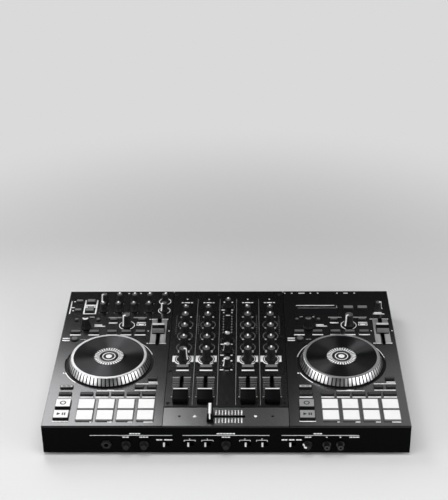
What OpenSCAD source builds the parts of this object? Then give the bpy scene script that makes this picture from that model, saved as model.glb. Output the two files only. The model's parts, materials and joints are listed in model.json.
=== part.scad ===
// Four-channel controller: two jog wheel decks with a mixer between them, in a low flat case.
// The origin is on the table under the middle of the case. X runs to the right, Y to the back.

/* [Case] */
// Width of one deck panel
deck_w = 168.6; // [164:0.2:190]
// Width of the mixer between the decks
mixer_w = 176; // [172:1:190]
// Front to back depth of the crossfader panel
cross_d = 41.5; // [36:0.5:46]
// Gap between neighbouring panels
seam = 0.9; // [0.4:0.1:1.5]
// Height of the control surface over the table
top_z = 52; // [48:1:70]
// Thickness of the top panels
panel_t = 3; // [2.5:0.1:4]
// Thickness of the side walls and of the front and rear plates
wall_t = 2.5; // [2:0.1:4]
// Thickness of the case floor
floor_t = 2; // [1.5:0.1:4]
// Chamfer along the outer top edges
edge = 0.7; // [0.3:0.1:1.2]
// Width of the two inner rails under the panel seams
rail_w = 13; // [12:0.5:16]
// How far a rail reaches under a deck panel
rail_lip = 4.5; // [3:0.5:6]
// Wall thickness of those rails
rail_wall = 2.5; // [2:0.1:4]
// Height of the rubber feet
foot_h = 5; // [3:0.5:8]
// Radius of the rubber feet
foot_r = 11; // [8:0.5:14]
// Panel underside to the top of the circuit boards
board_drop = 11; // [10:0.5:14]
// Thickness of the circuit boards
board_t = 1.6; // [1.2:0.1:2.4]

/* [Deck rows from front to back] */
// Front edge to the front row of pads
pad_inset = 22.5; // [20:0.5:28]
// Rear row of pads to the mode keys
mode_step = 24.5; // [22:0.5:30]
// Mode keys to the centre of the jog wheel
jog_step = 79.5; // [78:0.5:90]
// Centre of the jog wheel to the row of five keys
five_step = 80.5; // [78:0.5:90]
// Row of five keys to the pair of keys
pair_step = 33.5; // [32:0.5:40]
// Pair of keys to the front row of the rear section
rear_step = 27.5; // [26:0.5:36]
// Distance between the two rows of the rear section
rear_pitch = 26.5; // [24:0.5:32]
// Rear row to the rear edge
rear_margin = 31; // [24:0.5:40]

/* [Jog wheels] */
// Radius of the round pocket around a jog wheel
well_r = 65.2; // [62:0.1:68]
// Depth of that pocket
well_depth = 1.2; // [0.8:0.1:1.8]
// Gap between the pocket wall and the foot of the wheel
well_gap = 3.2; // [2:0.1:4]
// Width that the ribbed side leans in from foot to top
lean = 5.5; // [4:0.1:8]
// Height of the wheel over the panel
jog_h = 12; // [9:0.5:16]
// Width of the bright rim round the touch disc
rim_w = 4.2; // [3:0.1:7]
// Number of ribs round a wheel
rib_count = 64; // [40:2:80]
// Depth of the grooves between the ribs
rib_depth = 1.1; // [0.6:0.1:1.6]
// Thickness of the touch disc
disc_t = 2; // [1.5:0.1:3]
// Radius of the wheel's spindle
spindle_r = 5; // [4:0.1:6]
// Wall of the bush that the spindle turns in
bush_wall = 6; // [4:0.5:8]

/* [Keys and pads] */
// Width of a pad
pad_w = 24.3; // [22:0.1:26]
// Depth of a pad
pad_d = 23; // [20:0.1:25]
// Gap between pads side by side
pad_gap = 4.2; // [3.4:0.1:5]
// Gap between the two rows of pads
pad_row_gap = 2.5; // [2.2:0.1:4]
// Height of a pad over the panel
pad_rise = 2.5; // [1.8:0.1:4]
// Width of the large transport keys
transport_w = 21.8; // [19:0.1:23]
// Depth of the large transport keys
transport_d = 18; // [15:0.1:21]
// Height of the large transport keys over the panel
transport_rise = 4; // [2:0.1:5]
// Width of a mode key
mode_w = 18.7; // [16:0.1:20]
// Gap between mode keys
mode_gap = 3.7; // [2.6:0.1:4.4]
// Depth of the small keys
key_d = 6.4; // [5:0.1:8]
// Height of the small keys over the panel
key_rise = 2.7; // [1.6:0.1:4]
// Travel of every key and pad
key_travel = 1.2; // [0.6:0.1:1.5]
// Corner chamfer of keys and pads
key_corner = 0.9; // [0.4:0.1:1.4]

/* [Knobs] */
// Height of the tall knobs over the panel
tall_h = 21; // [16:0.5:24]
// Top radius of the tall knobs
tall_r = 5.6; // [4.5:0.1:6.5]
// Height of the small knobs over the panel
small_h = 15; // [12:0.5:18]
// Top radius of the small knobs
small_r = 4.4; // [3.8:0.1:5.2]
// Height of the endless encoder knobs over the panel
encoder_h = 20.5; // [16:0.5:24]
// Top radius of the encoder knobs
encoder_r = 6.2; // [5:0.1:6.6]
// Height of the browse knobs over the panel
browse_h = 17.5; // [14:0.5:20]
// Top radius of the browse knobs
browse_r = 6; // [5:0.1:6.6]
// Number of flutes round a browse knob
flute_count = 16; // [10:1:20]
// Skirt of a knob beyond its top radius
skirt = 2.2; // [1.4:0.1:2.6]
// Radius of a knob's stem
stem_r = 3; // [2.5:0.1:3.2]

/* [Faders] */
// Travel of the channel faders
channel_travel = 50; // [40:1:54]
// Travel of the tempo faders
tempo_travel = 63; // [55:1:66]
// Travel of the crossfader
cross_travel = 45; // [36:1:50]
// Width of a fader slot
slot_w = 5; // [4:0.1:6]
// Length of a fader's stem along the slot
fader_stem = 8; // [6:0.5:9]
// Width of a channel fader cap
channel_cap_w = 22; // [18:0.5:24]
// Length of a channel fader cap along its travel
channel_cap_d = 24; // [18:0.5:26]
// Height of a channel fader cap over the panel
channel_cap_h = 10; // [8:0.5:13]
// Width of a tempo fader cap
tempo_cap_w = 19.5; // [16:0.5:22]
// Length of a tempo fader cap along its travel
tempo_cap_d = 16; // [12:0.5:18]
// Height of a tempo fader cap over the panel
tempo_cap_h = 12; // [9:0.5:15]
// Width of the crossfader cap, across its travel
cross_cap_w = 24; // [20:0.5:26]
// Length of the crossfader cap along its travel
cross_cap_d = 9.5; // [8:0.5:12]
// Height of the crossfader cap over the panel
cross_cap_h = 15; // [12:0.5:18]

/* [Mixer] */
// Middle of the mixer to the inner channels
channel_inner = 31; // [29:0.5:33]
// Inner channel to outer channel
channel_pitch = 35; // [34:0.5:38]
// Front edge of the mixer panel to the middle of the channel fader slots
fader_step = 46.25; // [44:0.25:52]
// Middle of the fader slots to the channel keys
cue_step = 50.75; // [49:0.25:56]
// Channel keys to the filter knobs
filter_step = 20.5; // [19:0.5:26]
// Distance between the rows of channel knobs
knob_pitch = 31; // [28:0.5:34]

/* [Front and rear] */
// Control surface down to the row of front controls
front_drop = 32; // [28:0.5:34]
// Control surface down to the row of rear sockets
rear_drop = 27; // [24:0.5:30]
// How far front knobs and rear sockets stand out of the case
reach = 9; // [7:0.5:12]
// Travel of the front slide switches
switch_travel = 6; // [4:0.5:7]
// Bore radius of the large jack sockets
jack_r = 3.3; // [3.2:0.05:3.5]
// Bore radius of the phono sockets
phono_r = 1.7; // [1.6:0.05:1.9]
// Travel of the power button
power_travel = 3; // [1:0.5:3]

/* [Clearances] */
// Gap round a key, pad or knob stem in its opening
gap = 0.4; // [0.3:0.05:0.6]
// Gap round a fader stem in its slot
fader_gap = 0.6; // [0.4:0.1:0.8]
// Gap under knobs and caps, over the panel
lift = 0.5; // [0.3:0.1:0.8]
// Radial gap of a jog spindle in its bush
spindle_gap = 0.3; // [0.2:0.05:0.5]

/* [Hidden] */
$fn = 48;
pad_row_pitch = pad_d + pad_row_gap;
body_d = pad_inset + pad_row_pitch + mode_step + jog_step + five_step + pair_step + rear_step
    + rear_pitch + rear_margin;
body_w = mixer_w + 2 * seam + 2 * deck_w;
deck_x = mixer_w / 2 + seam + deck_w / 2;
under_z = top_z - panel_t;
board_z = under_z - board_drop;
front_y = -body_d / 2;
inner_y = body_d / 2 - wall_t;
rail_x = mixer_w / 2 + seam + rail_lip - rail_w / 2;
rail_set_back = 8;
board_inset = 4;
mixer_y = front_y + cross_d + seam;

// Rows of the decks
pad_y = front_y + pad_inset;
mode_y = pad_y + pad_row_pitch + mode_step;
upper_step = 16.8;
upper_y = mode_y + upper_step;
jog_y = mode_y + jog_step;
five_y = jog_y + five_step;
pair_y = five_y + pair_step;
rear_y = pair_y + rear_step;

// Places on a deck, across from the middle of its panel, which spread with its width
left_column = -0.35 * deck_w;
pad_x = 0.0993 * deck_w;
jog_x = -3;
tempo_x = 0.3903 * deck_w;
tempo_step = 1.5;
tempo_y = five_y + tempo_step;
loop_step = 19;
browse_step = 13;
loop_knob_at = [0.09 * deck_w, five_y + loop_step];
browse_knob_at = [-0.2859 * deck_w, five_y + browse_step];
five_x = [for (share = [-0.3713, -0.2023, -0.0391, 0.0925, 0.223]) share * deck_w];
pair_x = [for (share = [-0.0409, 0.2218]) share * deck_w];
param_x = [for (share = [0.2764, 0.3832]) share * deck_w];
rear_key_x = [for (share = [-0.3926, -0.2817]) share * deck_w];
effect_x = [for (share = [0.1074, 0.239]) share * deck_w];
input_x = [for (share = [-0.153, -0.0089, 0.1352, 0.2794, 0.4235]) share * deck_w];

// Keys as [across, along, width, depth]
param_w = 13.4;
param_step = 20;
five_w = 15;
pair_w = 11.6;
thin_key_d = 4.8;
input_key = [10.3, 6];
source_key = [12.8, 8];
effect_key = [15.5, 8];
effect_step = 6.5;
pad_list = [for (j = [0:1]) for (i = [0:3])
    [pad_x + (i - 1.5) * (pad_w + pad_gap), pad_y + j * pad_row_pitch, pad_w, pad_d]];
transport_list = [for (j = [0:1]) [left_column, pad_y + j * pad_row_pitch, transport_w, transport_d]];
deck_key_list = concat(
    [for (y = [mode_y, upper_y]) [left_column, y, mode_w, key_d]],
    [for (i = [-2:2]) [pad_x + i * (mode_w + mode_gap), mode_y, mode_w, key_d]],
    [for (x = param_x) [x, upper_y, param_w, key_d]],
    [[param_x[1], upper_y + param_step, param_w, thin_key_d]],
    [for (x = five_x) [x, five_y, five_w, key_d]],
    [for (x = pair_x) [x, pair_y, pair_w, thin_key_d]]);
// Round keys as [across, along, radius]
layer_step = 20;
round_key_list = [[-0.3855 * deck_w, pair_y, 3.5], [-0.1856 * deck_w, pair_y, 3.5],
    [-0.3677 * deck_w, five_y - layer_step, 5.7]];
left_rear_keys = [for (j = [0:1]) for (k = [[rear_key_x[0], input_key], [rear_key_x[1], source_key]])
    [k[0], rear_y + j * rear_pitch, k[1][0], k[1][1]]];
right_rear_keys = [for (x = effect_x) [x, rear_y + effect_step, effect_key[0], effect_key[1]]];

// Mixer columns and rows
channel_x = [for (s = [-1, 1]) for (k = [0, 1])
    s * channel_inner + (s < 0 ? k - 1 : k) * channel_pitch];
fader_y = mixer_y + fader_step;
cue_y = fader_y + cue_step;
filter_y = cue_y + filter_step;
trim_y = filter_y + 4 * knob_pitch;
cue_list = [for (x = channel_x) [x, cue_y, 18, 7]];
centre_ys = [for (step = [-17.5, 20, 49, 144.5]) filter_y + step];
cross_y = front_y + cross_d / 2 + 0.4;

// How each knob stands, in degrees anticlockwise from pointing straight back
row_names = ["filter", "low", "mid", "high"];
filter_turns = [-135, 0, 0, 0];
centre_names = ["level", "mix", "booth", "main"];
centre_turns = [130, 90, 40, 0];
trim_turns = [20, 0, 25, 0];
input_turns = [[0, 0, 0, 0, 130], [130, 0, 0, 0, -25]];
loop_turn = 138;

// Fixed knobs as [across, along, turn]
input_knobs = [for (j = [0:1]) for (i = [0:4])
    [input_x[i] - deck_x, rear_y + j * rear_pitch, input_turns[j][i]]];
trim_knobs = [for (i = [0:3]) [channel_x[i], trim_y, trim_turns[i]]];
sampler_knob = [deck_x + 0.3843 * deck_w, rear_y + 1.5, -90];
fixed_knobs = concat(input_knobs, trim_knobs, [sampler_knob]);

// Front and rear places
front_z = top_z - front_drop;
rear_z = top_z - rear_drop;
left_end = -body_w / 2;
right_end = body_w / 2;
front_knob_insets = [117.5, 142.5, 143.5];
front_knob_x = [left_end + front_knob_insets[0], left_end + front_knob_insets[1], 0,
    right_end - front_knob_insets[2]];
switch_insets = [170.5, 167.5];
middle_switch_x = [-53, -29, 27.5, 51];
switch_x = concat([left_end + switch_insets[0]], middle_switch_x, [right_end - switch_insets[1]]);
front_jack_inset = 89.5;
front_jack_x = left_end + front_jack_inset;
front_phono_insets = [116.5, 97.5];
front_phono_x = [for (inset = front_phono_insets) right_end - inset];
microphone_insets = [95.5, 115.5];
output_insets = [81.5, 53.5];
rear_jack_x = concat([for (inset = microphone_insets) left_end + inset],
    [for (inset = output_insets) right_end - inset]);
rear_phono_insets = [153.5, 139.5, 123.5, 109.5];
rear_phono_x = [for (inset = rear_phono_insets) right_end - inset];
data_inset = 52.5;
data_x = left_end + data_inset;
supply_inset = 73.5;
supply_x = left_end + supply_inset;
power_inset = 25.5;
power_x = left_end + power_inset;

// Screws through the mixer panel, and the posts under those that miss the rails
screw_side = 4.5;
screw_inset = 9.5;
screw_rear_inset = 11.5;
screw_mid_step = 61;
screw_x = mixer_w / 2 - screw_side;
screw_front_y = mixer_y + screw_inset;
screw_rear_y = body_d / 2 - screw_rear_inset;
rail_screws = [for (s = [-1, 1])
    for (y = [screw_front_y, cue_y - screw_inset, filter_y + screw_mid_step, screw_rear_y])
        [s * screw_x, y]];
post_step = 17;
post_aside = 14;
post_screws = [[0, screw_front_y], [0, cue_y - post_step], [-post_aside, screw_rear_y]];
post_r = 4;
screw_head_r = 3;
screw_head_h = 1;
screw_r = 1.45;
screw_len = 9;
pilot_r = screw_r + 0.15;
post_inset = 35;
post_side = 14;
post_from_rail = 16;
post_middle = 24;
board_posts = [for (side = [-1, 1])
    for (x = [body_w / 2 - post_side, rail_x + post_from_rail, post_middle])
        for (end = [-1, 1]) [side * x, end * (body_d / 2 - post_inset)]];
foot_inset = [36, 26];
foot_at = [for (sx = [-1, 1]) for (sy = [-1, 1])
    [sx * (body_w / 2 - foot_inset[0]), sy * (body_d / 2 - foot_inset[1])]];

// Lengths below the panels
pot_h = 6.5;
pot_w = 10;
stem_bottom = board_z + 3;
track_h = 8;
track_w = 11;
flange_t = 1;
flange_w = 1;
key_stem = 3;
glass_t = 1.4;
display_size = [68, 27];
display_at = [deck_x - 0.191 * deck_w, rear_y + 2.5];
plug_depth = 24;

// Shapes that repeat

// A straight-sided block with its four corners cut off, centred, standing on z = 0
module chamfered_block(w, d, h, corner) {
    x = w / 2;
    y = d / 2;
    linear_extrude(h)
        polygon([[-x + corner, -y], [x - corner, -y], [x, -y + corner], [x, y - corner],
            [x - corner, y], [-x + corner, y], [-x, y - corner], [-x, -y + corner]]);
}

// What lies under a key: a flange that stops it from coming out, and a stem down to its switch
module key_root(w, d) {
    stem_foot = board_z + key_travel + gap;
    translate([-w / 2 - flange_w, -d / 2 - flange_w, under_z - gap - flange_t])
        cube([w + 2 * flange_w, d + 2 * flange_w, flange_t]);
    translate([-key_stem / 2, -key_stem / 2, stem_foot])
        cube([key_stem, key_stem, under_z - stem_foot]);
}

module key(k, rise) {
    translate([k[0], k[1], 0]) {
        translate([0, 0, under_z - gap - flange_t / 2])
            chamfered_block(k[2], k[3], panel_t + gap + flange_t / 2 + rise, key_corner);
        key_root(k[2], k[3]);
    }
}

module round_key(k, rise) {
    translate([k[0], k[1], 0]) {
        translate([0, 0, under_z - gap - flange_t / 2])
            cylinder(r = k[2], h = panel_t + gap + flange_t / 2 + rise);
        key_root(2 * k[2], 2 * k[2]);
    }
}

module key_hole(k) {
    translate([k[0], k[1], top_z])
        cube([k[2] + 2 * gap, k[3] + 2 * gap, 3 * panel_t], center = true);
}

module round_hole(at, r) {
    translate([at[0], at[1], top_z])
        cylinder(r = r, h = 3 * panel_t, center = true);
}

// A knob on its stem, standing on z = 0, with a pointer groove across the back half of its top
module knob(top_r, height, turn, pointer = true) {
    pointer_w = 1.3;
    pointer_depth = 0.5;
    foot_h = 1.2;
    waist_r = top_r + skirt / 2;
    rotate([0, 0, turn])
        difference() {
            union() {
                rotate_extrude()
                    polygon([[0, lift], [top_r + skirt, lift], [top_r + skirt, lift + foot_h],
                        [waist_r, lift + foot_h + skirt], [top_r + 0.4, height - 1],
                        [top_r - 0.4, height], [0, height]]);
                translate([0, 0, stem_bottom - top_z])
                    cylinder(r = stem_r, h = top_z - stem_bottom + 2 * lift);
            }
            if (pointer)
                translate([-pointer_w / 2, 0, height - pointer_depth])
                    cube([pointer_w, 2 * top_r, 2 * pointer_depth]);
        }
}

// The fixed body of a rotary control, with a socket for the knob's stem
module pot_body() {
    difference() {
        translate([-pot_w / 2, -pot_w / 2, board_z])
            cube([pot_w, pot_w, pot_h]);
        translate([0, 0, stem_bottom - gap])
            cylinder(r = stem_r + gap, h = pot_h);
    }
}

function slot_length(travel) = travel + fader_stem + 2 * fader_gap;

// A fader slot through a panel, along Y
module fader_slot(travel) {
    cube([slot_w, slot_length(travel), 3 * panel_t], center = true);
}

// A fader track on the board, along Y, with a channel for the stem
module fader_track(travel) {
    length = slot_length(travel);
    difference() {
        translate([-track_w / 2, -length / 2 - 4, board_z])
            cube([track_w, length + 8, track_h]);
        translate([-slot_w / 2, -length / 2, stem_bottom - gap])
            cube([slot_w, length, track_h]);
    }
}

// A fader cap on its stem: a block with sloping ends and a dip across its top, travelling along Y
module fader_cap(w, length, height) {
    draft = length / 9;
    dip = height / 10;
    line = 0.8;
    end = length / 2;
    rotate([90, 0, 90])
        translate([0, 0, -w / 2])
            linear_extrude(w)
                polygon([[-end, lift], [end, lift], [end - draft, height - dip], [end - 2 * draft, height],
                    [line, height - dip], [-line, height - dip], [2 * draft - end, height],
                    [draft - end, height - dip]]);
    translate([fader_gap - slot_w / 2, -fader_stem / 2, stem_bottom - top_z])
        cube([slot_w - 2 * fader_gap, fader_stem, top_z - stem_bottom + 2 * lift]);
}

module at_deck(side) {
    translate([side * deck_x, 0, 0])
        children();
}

// Case

module deck_panel(side) {
    outer = side * deck_w / 2;
    at_deck(side)
        difference() {
            translate([-deck_w / 2, front_y, under_z])
                cube([deck_w, body_d, panel_t]);
            translate([outer, 0, top_z])
                rotate([0, 45, 0])
                    cube([edge * sqrt(2), 2 * body_d, edge * sqrt(2)], center = true);
            for (y = [front_y, -front_y])
                translate([0, y, top_z])
                    rotate([45, 0, 0])
                        cube([2 * deck_w, edge * sqrt(2), edge * sqrt(2)], center = true);
            translate([jog_x, jog_y, top_z - well_depth])
                cylinder(r = well_r, h = panel_t);
            round_hole([jog_x, jog_y], spindle_r + spindle_gap + bush_wall + gap / 2);
            for (k = concat(pad_list, transport_list, deck_key_list))
                key_hole(k);
            for (k = round_key_list)
                round_hole(k, k[2] + gap);
            for (at = [loop_knob_at, browse_knob_at])
                round_hole(at, stem_r + gap);
            translate([tempo_x, tempo_y, top_z])
                fader_slot(tempo_travel);
            if (side < 0) {
                for (k = left_rear_keys)
                    key_hole(k);
                for (k = input_knobs)
                    round_hole([k[0] + deck_x, k[1]], stem_r + gap);
            } else {
                for (k = right_rear_keys)
                    key_hole(k);
                round_hole([sampler_knob[0] - deck_x, sampler_knob[1]], stem_r + gap);
                translate([display_at[0] - deck_x, display_at[1], top_z])
                    cube([display_size[0] + 2 * gap, display_size[1] + 2 * gap, 2 * (glass_t + gap)],
                        center = true);
            }
        }
}

module deck_panels() {
    color("#3a3b3d") {
        deck_panel(-1);
        deck_panel(1);
    }
}

module mixer_panel() {
    color("#141416")
        difference() {
            translate([-mixer_w / 2, mixer_y, under_z])
                cube([mixer_w, body_d / 2 - mixer_y, panel_t]);
            translate([0, body_d / 2, top_z])
                rotate([45, 0, 0])
                    cube([2 * mixer_w, edge * sqrt(2), edge * sqrt(2)], center = true);
            for (k = cue_list)
                key_hole(k);
            for (x = channel_x) {
                for (r = [0:4])
                    round_hole([x, filter_y + r * knob_pitch], stem_r + gap);
                translate([x, fader_y, top_z])
                    fader_slot(channel_travel);
            }
            for (y = centre_ys)
                round_hole([0, y], stem_r + gap);
            for (at = concat(rail_screws, post_screws))
                round_hole(at, pilot_r);
        }
}

module crossfader_panel() {
    color("#3a3b3d")
        difference() {
            translate([-mixer_w / 2, front_y, under_z])
                cube([mixer_w, cross_d, panel_t]);
            translate([0, front_y, top_z])
                rotate([45, 0, 0])
                    cube([2 * mixer_w, edge * sqrt(2), edge * sqrt(2)], center = true);
            translate([0, cross_y, top_z])
                rotate([0, 0, 90])
                    fader_slot(cross_travel);
        }
}

// An upturned channel that stops short of the end plates, solid at the top for the screws
module rail(height) {
    length = 2 * (inner_y - rail_set_back);
    channel_w = rail_w - 2 * rail_wall;
    difference() {
        translate([-rail_w / 2, -length / 2, 0])
            cube([rail_w, length, height]);
        translate([-channel_w / 2, -length, floor_t])
            cube([channel_w, 2 * length, height - floor_t - screw_len - 2]);
    }
}

module bottom_case() {
    wall_h = under_z - foot_h;
    color("#18181a")
        difference() {
            union() {
                translate([-body_w / 2, -inner_y, foot_h])
                    cube([body_w, 2 * inner_y, floor_t]);
                for (x = [-body_w / 2, body_w / 2 - wall_t])
                    translate([x, -inner_y, foot_h])
                        cube([wall_t, 2 * inner_y, wall_h]);
                for (s = [-1, 1])
                    translate([s * rail_x, 0, foot_h])
                        rail(wall_h);
                for (at = post_screws)
                    translate([at[0], at[1], foot_h])
                        cylinder(r = post_r, h = wall_h);
                for (at = board_posts)
                    translate([at[0], at[1], foot_h])
                        cylinder(r = post_r, h = board_z - board_t - foot_h);
            }
            for (at = concat(rail_screws, post_screws))
                translate([at[0], at[1], under_z - screw_len])
                    cylinder(r = pilot_r, h = 2 * screw_len);
            for (at = board_posts)
                translate([at[0], at[1], 0])
                    cylinder(r = pilot_r, h = foot_h + 1.2 * screw_len);
        }
}

// A plate that stands along the front or rear edge of the case
module end_plate(y) {
    translate([-body_w / 2, y, foot_h])
        cube([body_w, wall_t, under_z - foot_h]);
}

module front_fascia() {
    color("#101012")
        difference() {
            end_plate(front_y);
            for (x = front_knob_x)
                translate([x, front_y, front_z])
                    rotate([90, 0, 0])
                        cylinder(r = stem_r + gap, h = 4 * wall_t, center = true);
            for (x = switch_x)
                translate([x - lever[0] / 2 - gap, front_y - wall_t, front_z - lever[2] / 2 - gap])
                    cube([lever[0] + switch_travel + 2 * gap, 3 * wall_t, lever[2] + 2 * gap]);
            translate([front_jack_x, front_y, front_z])
                socket_hole(jack_neck_r);
            for (x = front_phono_x)
                translate([x, front_y, front_z])
                    socket_hole(phono_neck_r);
        }
}

module rear_panel() {
    color("#101012")
        difference() {
            end_plate(inner_y);
            for (x = rear_jack_x)
                translate([x, inner_y, rear_z])
                    socket_hole(jack_neck_r);
            for (x = rear_phono_x)
                translate([x, inner_y, rear_z])
                    socket_hole(phono_neck_r);
            translate([data_x, inner_y, rear_z])
                cube([data_shell[0] + gap, 4 * wall_t, data_shell[1] + gap], center = true);
            translate([supply_x, inner_y, rear_z])
                socket_hole(supply_neck_r);
            translate([power_x, inner_y, rear_z])
                cube([power_size[0] + 2 * gap, 4 * wall_t, power_size[1] + 2 * gap], center = true);
        }
}

module rubber_feet() {
    color("#1c1c1c")
        for (at = foot_at)
            translate([at[0], at[1], 0])
                rotate_extrude()
                    polygon([[0, 0], [foot_r - 1.5, 0], [foot_r - 0.8, 0.7], [foot_r, foot_h], [0, foot_h]]);
}

// A round-headed screw with its head standing up from z = 0
module screw() {
    cross_w = 0.9;
    difference() {
        rotate_extrude()
            polygon([[0, -screw_len + 1], [screw_r, -screw_len + 1], [screw_r, 0], [screw_head_r, 0],
                [screw_head_r, 0.3], [screw_head_r - 1, screw_head_h], [0, screw_head_h]]);
        for (a = [0, 90])
            rotate([0, 0, a])
                translate([0, 0, screw_head_h])
                    cube([3, cross_w, screw_head_h], center = true);
    }
}

module panel_screws() {
    color("#2a2a2c") {
        for (at = concat(rail_screws, post_screws))
            translate([at[0], at[1], top_z])
                screw();
        for (at = board_posts)
            translate([at[0], at[1], foot_h])
                mirror([0, 0, 1])
                    screw();
    }
}

// Inside the case

module board(x0, x1) {
    translate([x0, board_inset - inner_y, board_z - board_t])
        cube([x1 - x0, 2 * (inner_y - board_inset), board_t]);
}

module circuit_boards() {
    inner = rail_x - rail_w / 2 - gap;
    outer = rail_x + rail_w / 2 + gap;
    wall = body_w / 2 - wall_t - gap;
    color("#1d4a2c")
        difference() {
            union() {
                board(-inner, inner);
                board(outer, wall);
                board(-wall, -outer);
            }
            for (at = post_screws)
                translate([at[0], at[1], 0])
                    cylinder(r = post_r + gap, h = top_z);
        }
}

module control_bodies() {
    color("#8b8d90") {
        for (k = fixed_knobs)
            translate([k[0], k[1], 0])
                pot_body();
        for (x = channel_x) {
            for (r = [0:3])
                translate([x, filter_y + r * knob_pitch, 0])
                    pot_body();
            translate([x, fader_y, 0])
                fader_track(channel_travel);
        }
        for (y = centre_ys)
            translate([0, y, 0])
                pot_body();
        translate([0, cross_y, 0])
            rotate([0, 0, 90])
                fader_track(cross_travel);
        for (side = [-1, 1])
            at_deck(side) {
                for (at = [loop_knob_at, browse_knob_at])
                    translate([at[0], at[1], 0])
                        pot_body();
                translate([tempo_x, tempo_y, 0])
                    fader_track(tempo_travel);
            }
        for (x = front_knob_x)
            translate([x, front_y, front_z])
                front_pot_body();
    }
}

// A rotary control body on the back of the front plate
module front_pot_body() {
    difference() {
        translate([-pot_w / 2, wall_t, -pot_w / 2])
            cube([pot_w, front_stem - wall_t + 2, pot_w]);
        translate([0, wall_t / 2, 0])
            rotate([-90, 0, 0])
                cylinder(r = stem_r + gap, h = front_stem - wall_t / 2 + gap);
    }
}

// The bushes that carry the jog spindles, each with a flange under its panel
module jog_bearings() {
    bore_r = spindle_r + spindle_gap;
    outer_r = bore_r + bush_wall;
    flange_r = outer_r + 5;
    foot_z = board_z + 4;
    color("#a9abae")
        for (side = [-1, 1])
            at_deck(side)
                translate([jog_x, jog_y, 0])
                    rotate_extrude()
                        polygon([[bore_r, foot_z], [outer_r, foot_z], [outer_r, under_z - 2],
                            [flange_r, under_z - 2], [flange_r, under_z], [outer_r, under_z],
                            [outer_r, top_z - well_depth], [bore_r, top_z - well_depth]]);
}

// Sockets

jack_neck_r = jack_r + 2.2;
jack_body = 13;
phono_neck_r = 4.2;
phono_body = 10;
supply_neck_r = 5.2;
supply_bore_r = 3.2;
data_shell = [12, 11];
data_mouth = [8.6, 7.9];
data_tongue = [5.7, 3.2];
port_depth = 15;

module socket_hole(r) {
    rotate([90, 0, 0])
        cylinder(r = r + gap / 2, h = 4 * wall_t, center = true);
}

// A large jack socket in a plate whose outer face is at y = 0, with its mouth to the front
module jack_socket() {
    nose = 3;
    nut_t = 1.6;
    difference() {
        union() {
            rotate([-90, 0, 0]) {
                translate([0, 0, -nose])
                    cylinder(r = jack_neck_r, h = nose + wall_t + 1);
                translate([0, 0, -nut_t])
                    cylinder(r = jack_neck_r + 2, h = nut_t, $fn = 6);
            }
            translate([-jack_body / 2, wall_t, -jack_body / 2])
                cube([jack_body, plug_depth - nose, jack_body]);
        }
        translate([0, -nose - 1, 0])
            rotate([-90, 0, 0])
                cylinder(r = jack_r, h = plug_depth + 1);
    }
}

// A phono socket: a barrel that the plug's shell slides over, with a hole for the plug's pin
module phono_socket() {
    pin_depth = 10;
    difference() {
        union() {
            rotate([-90, 0, 0]) {
                translate([0, 0, -reach])
                    cylinder(r = phono_neck_r, h = reach + wall_t + 1);
                translate([0, 0, -1.2])
                    cylinder(r = phono_neck_r + 1.6, h = 1.2);
            }
            translate([-phono_body / 2, wall_t, -phono_body / 2])
                cube([phono_body, phono_body, phono_body]);
        }
        translate([0, -reach - 1, 0])
            rotate([-90, 0, 0])
                cylinder(r = phono_r, h = pin_depth + 1);
    }
}

// Turns a socket that is made for the front plate round to the rear plate
module at_rear(x) {
    translate([x, body_d / 2, rear_z])
        rotate([0, 0, 180])
            children();
}

module jack_sockets() {
    color("#26272a") {
        translate([front_jack_x, front_y, front_z])
            jack_socket();
        for (x = rear_jack_x)
            at_rear(x)
                jack_socket();
    }
}

module phono_sockets() {
    color("#b4a67c") {
        for (x = front_phono_x)
            translate([x, front_y, front_z])
                phono_socket();
        for (x = rear_phono_x)
            at_rear(x)
                phono_socket();
    }
}

// The square data socket with its contact tongue, and the round supply inlet with its pin
module rear_ports() {
    mouth_depth = 9;
    set_back = 1.5;
    color("#2b2c2f") {
        at_rear(data_x) {
            difference() {
                translate([-data_shell[0] / 2, -1, -data_shell[1] / 2])
                    cube([data_shell[0], port_depth, data_shell[1]]);
                translate([-data_mouth[0] / 2, -2, -data_mouth[1] / 2])
                    cube([data_mouth[0], mouth_depth + 2, data_mouth[1]]);
            }
            translate([-data_tongue[0] / 2, set_back, -data_tongue[1] / 2])
                cube([data_tongue[0], mouth_depth, data_tongue[1]]);
        }
        at_rear(supply_x) {
            difference() {
                rotate([-90, 0, 0])
                    translate([0, 0, -1])
                        cylinder(r = supply_neck_r, h = port_depth);
                translate([0, -2, 0])
                    rotate([-90, 0, 0])
                        cylinder(r = supply_bore_r, h = mouth_depth + 2);
            }
            translate([0, set_back, 0])
                rotate([-90, 0, 0])
                    cylinder(r = 1, h = mouth_depth);
        }
    }
}

module display_window() {
    color("#0a0b0d")
        translate([display_at[0] - display_size[0] / 2, display_at[1] - display_size[1] / 2,
            top_z - glass_t - gap])
            cube([display_size[0], display_size[1], glass_t]);
}

// Controls that stay where they are set

front_stem = 9;

module front_knob() {
    rotate([90, 0, 0]) {
        rotate_extrude()
            polygon([[0, lift], [small_r + skirt, lift], [small_r + skirt, lift + 1.2],
                [small_r + skirt / 2, lift + 3], [small_r, reach - 0.6], [small_r - 0.6, reach],
                [0, reach]]);
        translate([0, 0, -front_stem])
            cylinder(r = stem_r, h = front_stem + 2 * lift);
    }
}

module fixed_knobs() {
    color("#202123") {
        for (k = fixed_knobs)
            translate([k[0], k[1], top_z])
                knob(small_r, small_h, k[2]);
        for (x = front_knob_x)
            translate([x, front_y, front_z])
                front_knob();
    }
}

// Controls that move

// Width, reach out of the plate and height of a slide switch lever, and its root behind the plate
lever = [2.4, 3, 5];
lever_root = 2;
lever_stop = 1;

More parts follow.
